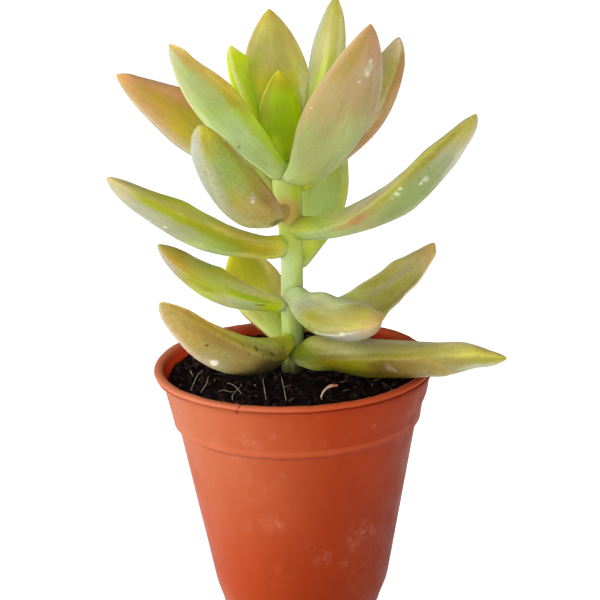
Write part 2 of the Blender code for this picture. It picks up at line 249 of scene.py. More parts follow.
def tube(points, radii, sides):
    """Rings of a tube along points, carried along without twisting."""
    p = np.asarray(points, float)
    d = unit(np.gradient(p, axis=0))
    a = np.cross(d[0], (0.0, 0.0, 1.0))
    if np.linalg.norm(a) < 1e-6:
        a = np.array((1.0, 0.0, 0.0))
    a = a / np.linalg.norm(a)
    rings = []
    t = np.linspace(0, 2 * np.pi, sides, endpoint=False)
    for k in range(len(p)):
        a = a - d[k] * np.dot(a, d[k])
        a = a / np.linalg.norm(a)
        b = np.cross(d[k], a)
        rings.append(p[k] + radii[k] * (np.outer(np.cos(t), a) + np.outer(np.sin(t), b)))
    return np.array(rings)


def through(points, n):
    """n points on a smooth curve through the given ones."""
    p = np.asarray(points, float)
    q = np.vstack([2 * p[0] - p[1], p, 2 * p[-1] - p[-2]])
    t = np.linspace(0, len(p) - 1, n)
    k = np.minimum(t.astype(int), len(p) - 2)
    f = (t - k)[:, None]
    a, b, c, d = q[k], q[k + 1], q[k + 2], q[k + 3]
    return 0.5 * (2 * b + (c - a) * f + (2 * a - 5 * b + 4 * c - d) * f ** 2 + (3 * b - a - 3 * c + d) * f ** 3)


# ================================================================ stem axis
def stem_centre(z):
    t = (np.asarray(z, float) - 48.0) / 40.0
    return -1.2 + 1.0 * t, 0.6 * np.sin(1.5 * t)


def stem_radius(z):
    return STEM_R - (STEM_R - STEM_TIP_R) * smooth((np.asarray(z, float) - STEM_TAPER_FROM) / 12.0)


# ================================================================ camera
def make_camera():
    """The viewer looks down 18.5 degrees on the pot's rim from 45 cm."""
    down, roll, far, focal = math.radians(18.5), math.radians(-1.8), 450.0, 2290.0
    aim_px = (295.6, 361.0)
    back = Vector((0, -math.cos(down), math.sin(down)))
    place = Vector((0, 0, POT_HEIGHT)) + back * far
    right = Vector((1, 0, 0))
    up = back.cross(right)
    r = right * math.cos(roll) + up * math.sin(roll)
    u = up * math.cos(roll) - right * math.sin(roll)
    dx, dy = (aim_px[0] - 300) / focal, (300 - aim_px[1]) / focal
    f2 = (-back - r * dx - u * dy).normalized()
    r2 = (r - f2 * r.dot(f2)).normalized()
    u2 = r2.cross(f2)
    data = bpy.data.cameras.new("camera")
    data.sensor_width = 36.0
    data.lens = focal * 36.0 / 600.0
    data.clip_start, data.clip_end = 0.02, 20.0
    cam = bpy.data.objects.new("camera", data)
    bpy.context.scene.collection.objects.link(cam)
    cam.matrix_world = Matrix.Translation(place * MM) @ Matrix((r2, u2, -f2)).transposed().to_4x4()
    bpy.context.scene.camera = cam


# ================================================================ leaves
def swell(s, at_base, peak, blunt):
    s = np.asarray(s, float)
    rise = at_base + (1 - at_base) * smooth(s / peak) ** 0.9
    fall = np.maximum(1 - ((s - peak) / (1 - peak)) ** 2, 0.0) ** blunt
    return np.where(s < peak, rise, fall)


def leaf_frame(spec, samples=240):
    L, W, T = spec["size"]
    rad = np.radians
    s = np.linspace(0, 1, samples + 1)
    az = rad(spec["az"][0] + (spec["az"][1] - spec["az"][0]) * s)
    el = rad(spec["el"][0] + (spec["el"][1] - spec["el"][0]) * s ** spec["bend"])
    ro = rad(spec["roll"][0] + (spec["roll"][1] - spec["roll"][0]) * s)
    cx, cy = stem_centre(spec["h"])
    reach = (stem_radius(spec["h"]) + GAP + spec.get("out", 0.0)
             + UPPER_SHARE * T * spec["depth"][0] * math.sin(max(el[0], 0.0)))
    d = np.stack([np.cos(el) * np.cos(az), np.cos(el) * np.sin(az), np.sin(el)], -1)
    steps = 0.5 * (d[1:] + d[:-1]) * (L / samples)
    start = np.array((cx + reach * math.cos(az[0]), cy + reach * math.sin(az[0]), spec["h"]))
    pos = np.vstack([start, start + np.cumsum(steps, 0)])
    side = np.stack([-np.sin(az), np.cos(az), 0 * az], -1)
    up = np.cross(d, side)
    c, n = np.cos(ro)[:, None], np.sin(ro)[:, None]
    return s, pos, d, side * c + up * n, up * c - side * n


def section(phi, half_width, thick):
    c, sn = np.cos(phi), np.abs(np.sin(phi))
    above = UPPER_SHARE * thick * sn ** 1.15
    below = -(1 - UPPER_SHARE) * thick * ((1 - KEEL) * sn ** 1.1 + KEEL * (1 - np.abs(c)))
    return half_width * c, np.where(np.sin(phi) >= 0, above, below)


LEAF_RINGS, LEAF_SIDES = 118, 72


def build_leaf(node, spec, look, seed):
    spec = {**spec, **look.get("skin", {})}
    fs, pos, d, side, up = leaf_frame(spec)
    L, W, T = spec["size"]
    v = np.linspace(0, 1, LEAF_RINGS)[:-1]
    s = 1 - (1 - v) ** 1.5
    at = lambda a: np.stack([np.interp(s, fs, a[:, k]) for k in range(3)], -1)
    P0, S, U = at(pos), unit(at(side)), unit(at(up))
    phi = np.linspace(-np.pi, np.pi, LEAF_SIDES, endpoint=False)
    hw = 0.5 * W * swell(s, spec["plan"][0], spec["plan"][1], spec["plan"][2])
    th = T * swell(s, spec["depth"][0], spec["depth"][1], 0.62)
    # the heel: the base rounds over and sinks into the stem
    cx, cy = stem_centre(spec["h"])
    inward = np.array((float(cx), float(cy), spec["h"])) - P0[0]
    inward[2] = 0.0
    inward = unit(inward)
    inward = unit(0.62 * inward - 0.38 * d[0])
    t = np.array((1.0, 0.93, 0.82, 0.68, 0.52, 0.36, 0.2, 0.08))
    depth = look.get("heel", 2.3) + spec.get("out", 0.0)
    P0 = np.vstack([P0[0] + np.outer(t * depth, inward), P0])
    S = np.vstack([np.repeat(S[:1], len(t), 0), S])
    U = np.vstack([np.repeat(U[:1], len(t), 0), U])
    k = (1 - (0.94 * t) ** 1.6) ** (1 / 1.6)
    hw = np.concatenate([hw[0] * k, hw])
    th = np.concatenate([th[0] * (1 - (0.94 * t) ** 1.9) ** (1 / 1.9), th])
    sa = np.concatenate([-0.03 * t, s])
    x, z = section(phi[None, :], hw[:, None], th[:, None])
    # a faint wander in each margin and in the two faces
    along = sa[:, None] * np.ones_like(phi)[None, :]
    rim = look.get("rim", 0.10) * np.exp(-(np.sin(phi) / 0.16) ** 2)[None, :]
    fade = (smooth(along / 0.10) * smooth((1 - along) / 0.05))
    x = x + np.sign(np.cos(phi))[None, :] * rim * fade
    groove = look.get("groove", (0.0, 0.3, 0.7))
    g = groove[0] * smooth((along - groove[1]) / 0.15) * smooth((groove[2] - along) / 0.15)
    z = z - g * np.exp(-((phi[None, :] - np.pi / 2) / 0.33) ** 2)
    P = P0[:, None, :] + S[:, None, :] * x[..., None] + U[:, None, :] * z[..., None]
    N = grid_normals(P)
    bump = (look.get("wave", 0.16) * fractal(P, 7.5, seed, 2)
            + look.get("fine", 0.035) * fractal(P, 1.7, seed + 5, 2)) * fade
    deg = np.degrees(phi)[None, :]
    for h, fs0, fp, ws, wp in look.get("bumps", ()):
        dp = (deg - fp + 180) % 360 - 180
        bump = bump + h * np.exp(-((along - fs0) / ws) ** 2 - (dp / wp) ** 2)
    P = P + N * bump[..., None]
    tip = pos[-1]
    ob = ring_skin("sedum_" + node, P, P[0].mean(0), tip, sa, np.linspace(0, 1, LEAF_SIDES + 1), uv_name="leaf_uv")

    def spot(share, angle):
        """The point of the surface at that share of the length and angle round the blade."""
        return tuple(P[int(np.argmin(np.abs(sa - share))), int(round((angle + 180) / 360 * LEAF_SIDES)) % LEAF_SIDES])

    return ob, spot


# ================================================================ pot
def pot_profile():
    """Half section, fine: the underside's edge, up the wall, over the rolled
    rim and down the inside."""
    z = POT_HEIGHT
    under = z - RIM_BEAD_H
    pts = [(BASE_R - 0.75, 0.0), (BASE_R - 0.5, 0.02), (BASE_R - 0.25, 0.12), (BASE_R - 0.06, 0.3), (BASE_R + 0.02, 0.55)]
    top = (BODY_TOP_R, COLLAR_BOTTOM_Z - 1.1)
    for t in np.linspace(0.02, 1.0, 34):
        pts.append((BASE_R + 0.02 + (top[0] - BASE_R - 0.02) * t, 0.55 + (top[1] - 0.55) * t))
    # the collar's step flares out in a soft curve
    for t in np.linspace(0.14, 1.0, 8):
        a = t * math.pi / 2
        pts.append((BODY_TOP_R + (COLLAR_BOTTOM_R - BODY_TOP_R) * (1 - math.cos(a)) ** 0.8,
                    COLLAR_BOTTOM_Z - 1.1 + 1.05 * math.sin(a) ** 0.9))
    pts += [(COLLAR_BOTTOM_R + 0.05, COLLAR_BOTTOM_Z + 0.12), (COLLAR_BOTTOM_R + 0.06, COLLAR_BOTTOM_Z + 0.35)]
    for t in np.linspace(0.1, 1.0, 14):
        pts.append((COLLAR_BOTTOM_R + 0.06 + (COLLAR_TOP_R - COLLAR_BOTTOM_R - 0.06) * t,
                    COLLAR_BOTTOM_Z + 0.35 + (under - 0.35 - COLLAR_BOTTOM_Z - 0.35) * t))
    # a soft lower ridge, a fine groove, the lip, its rounded top, and the inner edge
    pts += [(COLLAR_TOP_R + 0.10, under - 0.02), (COLLAR_TOP_R + 0.38, under + 0.14), (COLLAR_TOP_R + 0.84, under + 0.26),
            (RIM_OUTER_R - 0.44, under + 0.36), (RIM_OUTER_R - 0.34, under + 0.52), (RIM_OUTER_R - 0.38, under + 0.70),
            (RIM_OUTER_R - 0.62, under + 0.84), (RIM_OUTER_R - 0.66, under + 0.94), (RIM_OUTER_R - 0.36, under + 1.02),
            (RIM_OUTER_R - 0.12, under + 1.12), (RIM_OUTER_R - 0.02, under + 1.30), (RIM_OUTER_R, z - 0.52),
            (RIM_OUTER_R - 0.08, z - 0.32), (RIM_OUTER_R - 0.26, z - 0.15), (RIM_OUTER_R - 0.54, z - 0.04),
            (RIM_OUTER_R - 0.90, z), (RIM_OUTER_R - 1.25, z - 0.03), (RIM_INNER_R + 0.22, z - 0.16),
            (RIM_INNER_R + 0.07, z - 0.40), (RIM_INNER_R, z - 0.8)]
    outer_count = len(pts)
    inner = [(RIM_INNER_R, z - 0.9), (COLLAR_BOTTOM_R - WALL + 0.05, COLLAR_BOTTOM_Z + 0.4),
             (BODY_TOP_R - WALL, COLLAR_BOTTOM_Z - 0.8), (BASE_R - WALL + 0.25, FLOOR + 0.6), (BASE_R - WALL - 0.3, FLOOR)]
    for (r0, z0), (r1, z1), n in zip(inner, inner[1:], (12, 5, 16, 3)):
        for t in np.linspace(0, 1, n + 1)[1:]:
            pts.append((r0 + (r1 - r0) * t, z0 + (z1 - z0) * t))
    return np.array(pts), outer_count


NICK_AT = 246.4       # heading of the small split in the rim


def foot_draw(a, z):
    """How far the pot's foot draws in, a little more on the right."""
    return 0.9 * smooth((5.8 - z) / 5.8) * (0.78 + 0.22 * np.cos(a))


def build_pot():
    prof, outer_count = pot_profile()
    base = np.linspace(0, 360, 361)[:-1]
    extra = NICK_AT + np.linspace(-2.6, 2.6, 27)
    ang = np.unique(np.round(np.concatenate([base, extra % 360]), 3))
    a = np.radians(ang)
    r = prof[:, 0][:, None] * np.ones_like(a)[None, :]
    z = prof[:, 1][:, None] * np.ones_like(a)[None, :]
    circle = np.stack([np.cos(a), np.sin(a), 0 * a], -1)[None] * np.ones((len(prof), 1, 1))
    # moulded plastic is never quite true: a slow wobble, most of it in the rim
    high = smooth((z - 36) / 14)
    lobe = (0.10 * np.cos(2 * a + 0.7) + 0.06 * np.cos(3 * a + 2.0) + 0.03 * np.cos(7 * a))[None, :]
    r = r + lobe * high * 0.8 - 0.12 * high
    # it also sits a little askew: fuller on the left, its lip drawn in on the right
    left, right = np.maximum(-np.cos(a), 0)[None, :], np.maximum(np.cos(a), 0)[None, :] ** 2
    collar = smooth((z - 41.5) / 3) * (1 - smooth((z - 47.5) / 0.8))
    r = r + 0.40 * high * left + 0.52 * collar * right - 0.35 * smooth((z - 48.2) / 0.5) * right
    r = r - foot_draw(a[None, :], z) * smooth(r / 10 - 0.4)
    z = z + 0.35 * smooth((z - 44) / 5) * (smooth((np.sin(a) - 0.1) / 0.6) * np.abs(np.cos(a)) ** 0.5)[None, :]
    at = circle * 27.0 + np.stack([0 * z, 0 * z, z], -1)
    lip = smooth((z - 47.9) / 0.5)
    r = r + lip * (0.08 * fractal(at * np.array((1, 1, 0.4)), 3.2, 11, 2) + 0.04 * fractal(at, 0.9, 15, 2))
    z = z + lip * (0.10 * fractal(circle * 27.0, 6.0, 12, 2) + 0.07 * fractal(circle * 27.0, 1.4, 13, 2) - 0.12)
    skin = smooth((z - 2) / 4) * (r > BASE_R - 0.2)
    r = r + skin * 0.05 * fractal(at, 9.0, 14, 2)
    # the split in the rim: one lip stands a little proud of the other
    da = (ang - NICK_AT + 180) % 360 - 180
    cut = np.exp(-((da + 0.25 * (49.2 - z) * 1.4) / 0.33) ** 2)
    near = smooth((z - 48.0) / 0.5)
    z = z - 0.30 * cut * smooth((z - 49.1) / 0.4)
    r = r - 0.16 * cut * near
    step = smooth((da + 0.2) / 0.5) * np.exp(-(np.maximum(da, 0) / 1.7) ** 2)
    r = r + 0.10 * step[None, :] * near
    P = np.stack([r * np.cos(a), r * np.sin(a), z], -1)
    u = np.concatenate([[0], np.cumsum(np.linalg.norm(np.diff(prof, axis=0), axis=1))])
    v = np.append(ang, ang[0] + 360) / 360.0
    pot = ring_skin("pot_shell", P, (0, 0, 0), (0, 0, FLOOR), u / u[-1], v)
    # drainage holes, bored through the floor
    bm = bmesh.new()
    for i in range(DRAIN_HOLES):
        t = 2 * math.pi * (i + 0.5) / DRAIN_HOLES
        spot = Matrix.Translation(Vector((DRAIN_CIRCLE_R * math.cos(t), DRAIN_CIRCLE_R * math.sin(t), FLOOR / 2)) * MM)
        bmesh.ops.create_cone(bm, cap_ends=True, segments=40, radius1=DRAIN_R * MM, radius2=DRAIN_R * MM,
                              depth=6 * MM, matrix=spot)
    me = bpy.data.meshes.new("drain_tool")
    bm.to_mesh(me)
    bm.free()
    tool = bpy.data.objects.new("drain_tool", me)
    bpy.context.scene.collection.objects.link(tool)
    mod = pot.modifiers.new("drain", "BOOLEAN")
    mod.operation, mod.object, mod.solver = "DIFFERENCE", tool, "EXACT"
    bpy.context.view_layer.update()
    done = bpy.data.meshes.new_from_object(pot.evaluated_get(bpy.context.evaluated_depsgraph_get()))
    pot.modifiers.clear()
    pot.data = done
    bpy.data.objects.remove(tool)
    pot.data.shade_smooth()
    pot.data.set_sharp_from_angle(angle=math.radians(42))
    return pot


# ================================================================ soil
def pot_inner_radius(z):
    zs = (FLOOR, FLOOR + 0.6, COLLAR_BOTTOM_Z - 0.8, COLLAR_BOTTOM_Z + 0.4, POT_HEIGHT - 0.9)
    rs = (BASE_R - WALL - 0.3, BASE_R - WALL + 0.25, BODY_TOP_R - WALL, COLLAR_BOTTOM_R - WALL + 0.05, RIM_INNER_R)
    return float(np.interp(z, zs, rs))


def soil_height(x, y):
    """Top of the potting mix: a low mound of crumbs of several sizes."""
    edge = pot_inner_radius(SOIL_EDGE_Z) - GAP
    r = np.hypot(x, y)
    t = np.minimum(r / edge, 1.0)
    phi = np.arctan2(y, x)
    z = SOIL_CROWN_Z + (SOIL_EDGE_Z - SOIL_CROWN_Z) * t * t + 0.18 * np.sin(3 * phi + 0.7) * np.sin(np.pi * t)
    p = np.stack([x, y, 0 * x], -1)
    d1, d2, who = cells(p + 0.6 * np.stack([noise(p, 2.0, 70), noise(p, 2.0, 71), 0 * x], -1), 2.3, 72)
    e1, e2, who2 = cells(p, 1.05, 75)
    z = z + 0.42 * (0.45 - d1) * (0.5 + who) + 0.24 * (0.5 - e1) * (0.4 + who2) + 0.35 * fractal(p, 5.0, 77, 3)
    z = z + 0.10 * fractal(p, 0.7, 78, 2)
    sx, sy = stem_centre(SOIL_CROWN_Z)
    rs = np.hypot(x - sx, y - sy)
    z = z - 0.5 * np.exp(-((rs - 2.6) / 1.1) ** 2)
    return z


def build_soil():
    edge = pot_inner_radius(SOIL_EDGE_Z) - GAP - 0.1
    n = 300
    a = np.linspace(0, 2 * np.pi, n, endpoint=False)
    rings = []
    wall = [(BASE_R - WALL - 0.6, FLOOR + GAP), (BASE_R - WALL - 0.1, FLOOR + 1.0),
            (pot_inner_radius(COLLAR_BOTTOM_Z - 1.4) - GAP, COLLAR_BOTTOM_Z - 1.4),
            (pot_inner_radius(COLLAR_BOTTOM_Z + 0.4) - GAP - 0.15, COLLAR_BOTTOM_Z + 0.7),
            (edge, SOIL_EDGE_Z - 1.2)]
    for r in np.linspace(0.06, 1.0, 14)[:-1] * (wall[0][0] - 1.5):
        p = np.stack([r * np.cos(a), r * np.sin(a), 0 * a + FLOOR + GAP], -1)
        p[:, 2] += 0.35 * np.maximum(fractal(p, 1.6, 60, 2), 0)
        rings.append(p)
    for (r0, z0), (r1, z1), m in zip(wall, wall[1:], (1, 6, 1, 2)):
        for t in np.linspace(0, 1, m + 1)[:-1]:
            r, z = r0 + (r1 - r0) * t, z0 + (z1 - z0) * t
            r = r - foot_draw(a, z)
            rings.append(np.stack([r * np.cos(a), r * np.sin(a), 0 * a + z], -1))
    top = []
    for t in np.linspace(1.0, 0.0, 104)[:-1] ** 0.92:
        r = edge * t
        x, y = r * np.cos(a), r * np.sin(a)
        z = soil_height(x, y)
        z = z - 0.5 * smooth((t - 0.975) / 0.025)
        top.append(np.stack([x, y, z], -1))
    P = np.array(rings + top)
    ob = ring_skin("soil_bed", P, (0, 0, FLOOR + GAP), tuple(P[-1].mean(0)))
    return ob


def scatter(rng, n, rmax, rmin=3.4):
    """n points spread evenly over the soil, clear of the stem."""
    sx, sy = (float(c) for c in stem_centre(SOIL_CROWN_Z))
    out = []
    while len(out) < n:
        r, t = rmax * math.sqrt(rng.random()), rng.random() * 2 * math.pi
        x, y = r * math.cos(t), r * math.sin(t)
        if math.hypot(x - sx, y - sy) > rmin:
            out.append((x, y))
    return np.array(out)


def many(name, parts):
    """One object from a list of (points, faces)."""
    verts, faces, off = [], [], 0
    for v, f in parts:
        verts.append(np.asarray(v, float))
        faces += [[k + off for k in q] for q in f]
        off += len(v)
    me = bpy.data.meshes.new(name)
    me.from_pydata((np.concatenate(verts) * MM).tolist(), [], faces)
    me.shade_smooth()
    me.set_sharp_from_angle(angle=math.radians(48))
    ob = bpy.data.objects.new(name, me)
    bpy.context.scene.collection.objects.link(ob)
    return ob


def lump(detail):
    bm = bmesh.new()
    bmesh.ops.create_icosphere(bm, subdivisions=detail, radius=1.0)
    v = np.array([x.co[:] for x in bm.verts])
    f = [[x.index for x in q.verts] for q in bm.faces]
    bm.free()
    return v, f


def turn(rng):
    """A random rotation."""
    q = rng.normal(size=4)
    w, x, y, z = q / np.linalg.norm(q)
    return np.array([[1 - 2 * (y * y + z * z), 2 * (x * y - z * w), 2 * (x * z + y * w)],
                     [2 * (x * y + z * w), 1 - 2 * (x * x + z * z), 2 * (y * z - x * w)],
                     [2 * (x * z - y * w), 2 * (y * z + x * w), 1 - 2 * (x * x + y * y)]])


def build_crumbs():
    """Loose crumbs of peat and small chips of bark on the soil."""
    rng = np.random.default_rng(42)
    v2, f2 = lump(2)
    v3, f3 = lump(3)
    parts = []
    spots = scatter(rng, 520, pot_inner_radius(SOIL_EDGE_Z) - 1.6)
    for k, (x, y) in enumerate(spots):
        big = rng.random() ** 2.2
        size = 0.28 + 0.85 * big
        v, f = (v3, f3) if size > 0.85 else (v2, f2)
        flat = np.array((1.0, rng.uniform(0.6, 1.0), rng.uniform(0.45, 0.9)))
        p = v * flat * size
        p = p * (1 + 0.33 * fractal(v + k * 3.1, 0.75, 90, 2)[:, None])
        p = p @ turn(rng).T
        z = float(soil_height(np.array([x]), np.array([y]))[0])
        parts.append((p + np.array((x, y, z + size * rng.uniform(-0.15, 0.35))), f))
    return many("soil_crumbs", parts)


def build_chips():
    """Flat slivers of bark and straw, lighter than the peat."""
    rng = np.random.default_rng(7)
    parts = []
    for k, (x, y) in enumerate(scatter(rng, 60, pot_inner_radius(SOIL_EDGE_Z) - 2.2)):
        ln, wd, tk = rng.uniform(0.7, 2.2), rng.uniform(0.25, 0.6), rng.uniform(0.10, 0.22)
        t = rng.uniform(0, math.pi)
        tilt = rng.uniform(-0.5, 0.5)
        z = float(soil_height(np.array([x]), np.array([y]))[0]) + 0.18
        c, s = math.cos(t), math.sin(t)
        path = [np.array((x + c * q * ln / 2 - s * 0.12 * ln * (1 - q * q), y + s * q * ln / 2 + c * 0.12 * ln * (1 - q * q),
                          z + tilt * q * ln / 3)) for q in np.linspace(-1, 1, 7)]
        rad = wd / 2 * np.array((0.35, 0.8, 1.0, 1.05, 0.95, 0.75, 0.3))
        rings = tube(path, rad, 8)
        mid = np.array(path)[:, None, :]
        rings = mid + (rings - mid) * np.array((1, 1, tk / wd * 1.6))
        rings = rings + 0.05 * np.stack([noise(rings + 9 * k, 0.5, 95 + m) for m in range(3)], -1)
        m, n = rings.shape[:2]
        f = [[i * n + j, i * n + (j + 1) % n, (i + 1) * n + (j + 1) % n, (i + 1) * n + j] for i in range(m - 1) for j in range(n)]
        f += [list(range(n))[::-1], [(m - 1) * n + j for j in range(n)]]
        parts.append((rings.reshape(-1, 3), f))
    return many("bark_chips", parts)


# straws and root hairs that show in the soil: points on their line (x, y) and
# how high each point stands over the soil
FIBRES = [
    ((-18.2, 0.9, 0.3), (-19.2, -4.3, 0.9), (-20.3, -10.2, 0.2)),
    ((-21.1, 2.2, 0.2), (-20.7, 0.0, 0.5), (-20.1, -2.2, 0.1)),
    ((-13.7, -7.2, 0.2), (-12.0, -10.4, 0.7), (-10.3, -14.9, 0.2)),
    ((-10.4, -9.7, 0.3), (-12.1, -15.9, 0.6), (-12.1, -18.0, 0.1)),
    ((-3.1, -4.1, 0.3), (-2.6, -11.3, 0.9), (-1.9, -20.5, 0.3)),
    ((-17.1, -3.1, 0.2), (-17.3, -9.3, 0.7), (-18.4, -12.3, 0.2)),
    ((-6.6, -3.8, 0.1), (-6.2, -11.5, 0.3), (-5.8, -18.5, 0.1)),
    ((17.6, -11.5, 0.2), (17.9, -12.7, 0.4), (18.2, -13.9, 0.2)),
]


def ribbon(path, radius, sides=6, n=18):
    p = through(path, n)
    rad = radius * (0.55 + 0.45 * np.sin(np.linspace(0.15, np.pi - 0.15, n)))
    rings = tube(p, rad, sides)
    m = n
    f = [[i * sides + j, i * sides + (j + 1) % sides, (i + 1) * sides + (j + 1) % sides, (i + 1) * sides + j]
         for i in range(m - 1) for j in range(sides)]
    f += [list(range(sides))[::-1], [(m - 1) * sides + j for j in range(sides)]]
    return rings.reshape(-1, 3), f


def build_fibres():
    rng = np.random.default_rng(19)
    parts = []
    for line in FIBRES:
        pts = [(x, y, float(soil_height(np.array([x]), np.array([y]))[0]) + h) for x, y, h in line]
        parts.append(ribbon(pts, 0.075))
    for x, y in scatter(rng, 16, pot_inner_radius(SOIL_EDGE_Z) - 3.5):
        t, ln = rng.uniform(0, 2 * math.pi), rng.uniform(1.0, 3.2)
        bow = rng.uniform(-0.6, 0.6)
        pts = []
        for q in (-0.5, -0.15, 0.2, 0.5):
            px = x + math.cos(t) * q * ln - math.sin(t) * bow * (0.25 - q * q)
            py = y + math.sin(t) * q * ln + math.cos(t) * bow * (0.25 - q * q)
            reach = pot_inner_radius(SOIL_EDGE_Z) - 1.6
            k = min(1.0, reach / max(math.hypot(px, py), 1e-6))
            px, py = px * k, py * k
            pts.append((px, py, float(soil_height(np.array([px]), np.array([py]))[0]) + rng.uniform(0.0, 0.35) + 0.1))
        parts.append(ribbon(pts, rng.uniform(0.035, 0.06), 5, 12))
    return many("root_fibres", parts)


# ================================================================ stem
def build_stem():
    n = 72
    z = np.concatenate([np.linspace(STEM_FOOT_Z, STEM_TOP_Z - 0.9, 230)])
    cx, cy = stem_centre(z)
    # the soft skin leans a little off the axis, and swells under the crown
    cx = cx + np.interp(z, (44, 70, 77, 80, 83, 86, 90), (0.55, 0.54, 0.33, 0.05, -0.18, -0.30, -0.40))
    a = np.linspace(0, 2 * np.pi, n, endpoint=False)
    r = np.interp(z, (44, 71, 75, 78, 80, 83, 86, 87.4, 88.4, 89.0), (2.15, 2.16, 2.26, 2.44, 2.56, 2.80, 2.86, 2.62, 2.10, 1.60))
    r = r[:, None] * np.ones(n)[None, :]
    # a shallow swelling under each leaf, and flats between them
    for spec in LEAVES.values():
        da = (np.degrees(a)[None, :] - spec["az"][0] + 180) % 360 - 180
        dz = (z[:, None] - spec["h"])
        r = r + (0.34 if spec["h"] < 80 else 0.15) * np.exp(-(da / 38) ** 2 - (np.where(dz > 0, dz / 1.3, dz / 2.4)) ** 2)
    P = np.stack([cx[:, None] + r * np.cos(a), cy[:, None] + r * np.sin(a), z[:, None] * np.ones(n)], -1)
    r = r * (1 + 0.018 * fractal(P * np.array((1, 1, 0.35)), 2.2, 40, 2)) + 0.05 * fractal(P * np.array((1, 1, 0.5)), 4.0, 41, 2)
    # old leaf scars near the soil: low crescents
    for h, at in ((50.2, 200.0), (58.6, 300.0), (66.4, 250.0), (72.0, 330.0), (60.5, 120.0)):
        da = (np.degrees(a)[None, :] - at + 180) % 360 - 180
        dz = z[:, None] - h - 0.25 * (da / 30) ** 2
        inside = np.exp(-(da / 34) ** 4)
        r = r + inside * (0.10 * np.exp(-(dz / 0.18) ** 2) - 0.07 * np.exp(-((dz - 0.45) / 0.22) ** 2))
    foot = smooth((47.0 - z) / 3.6)[:, None]
    r = r * (1 - 0.12 * foot)
    P = np.stack([cx[:, None] + r * np.cos(a), cy[:, None] + r * np.sin(a), z[:, None] * np.ones(n)], -1)
    tx, ty = (float(c) for c in stem_centre(STEM_TOP_Z))
    dome = []
    for t in (0.35, 0.65, 0.88):
        q = P[-1].copy()
        q[:, :2] = (q[:, :2] - (cx[-1], cy[-1])) * math.sqrt(1 - t * t) + (cx[-1], cy[-1])
        q[:, 2] = z[-1] + 0.8 * t
        dome.append(q)
    P = np.concatenate([P, np.array(dome)])
    u = np.concatenate([z, [z[-1] + 0.3, z[-1] + 0.6, z[-1] + 0.8]])
    u = (u - STEM_FOOT_Z) / (STEM_TOP_Z - STEM_FOOT_Z)
    fx, fy = (float(c) for c in stem_centre(STEM_FOOT_Z))
    return ring_skin("stem_skin", P, (fx, fy, STEM_FOOT_Z), (tx, ty, STEM_TOP_Z), u)


def build_bud():
    """The growing tip: four tiny leaves folded over each other."""
    parts = []
    cx, cy = (float(c) for c in stem_centre(89.0))
    for k, (az, el, L, W, T) in enumerate(((300, 70, 1.9, 1.7, 1.0), (190, 76, 1.8, 1.5, 0.9),
                                            (20, 80, 1.9, 1.3, 0.9), (110, 86, 2.0, 1.2, 0.8))):
        spec = dict(h=88.6, az=(az, az), el=(el, el + 18), size=(L, W, T), roll=(0, 0), bend=1.0,
                    plan=(0.5, 0.5, 0.7), depth=(0.6, 0.45))
        fs, pos, d, side, up = leaf_frame(spec, 40)
        pos = pos + np.array((cx, cy, 0)) - pos[0] * np.array((1, 1, 0)) + 0.45 * np.array((math.cos(math.radians(az)), math.sin(math.radians(az)), 0))
        s = np.linspace(0, 0.985, 20)
        at = lambda q: np.stack([np.interp(s, fs, q[:, m]) for m in range(3)], -1)
        phi = np.linspace(-np.pi, np.pi, 18, endpoint=False)
        x, z = section(phi[None, :], 0.5 * W * swell(s, 0.5, 0.5, 0.7)[:, None], T * swell(s, 0.6, 0.45, 0.62)[:, None])
        P = at(pos)[:, None] + at(side)[:, None] * x[..., None] + at(up)[:, None] * z[..., None]
        m, n = P.shape[:2]
        v = np.vstack([P.reshape(-1, 3), pos[-1], P[0].mean(0)])
        f = [[i * n + (j + 1) % n, i * n + j, (i + 1) * n + j, (i + 1) * n + (j + 1) % n] for i in range(m - 1) for j in range(n)]
        f += [[(m - 1) * n + (j + 1) % n, (m - 1) * n + j, m * n] for j in range(n)]
        f += [[j, (j + 1) % n, m * n + 1] for j in range(n)]
        parts.append((v, f))
    return many("growing_tip", parts)


# ================================================================ dry stalk
def build_stalk():
    p = through(STALK_PATH, 40)
    rad = through([(r, 0, 0) for r in STALK_R], 40)[:, 0]
    rad = rad * (1 + 0.10 * np.sin(np.linspace(0, 19, 40)))
    rings = tube(p, rad, 20)
    rings = rings + 0.035 * np.stack([fractal(rings, 0.6, 120 + m, 2) for m in range(3)], -1)
    return ring_skin("dry_stalk_skin", rings, tuple(rings[0].mean(0)), tuple(rings[-1].mean(0)))


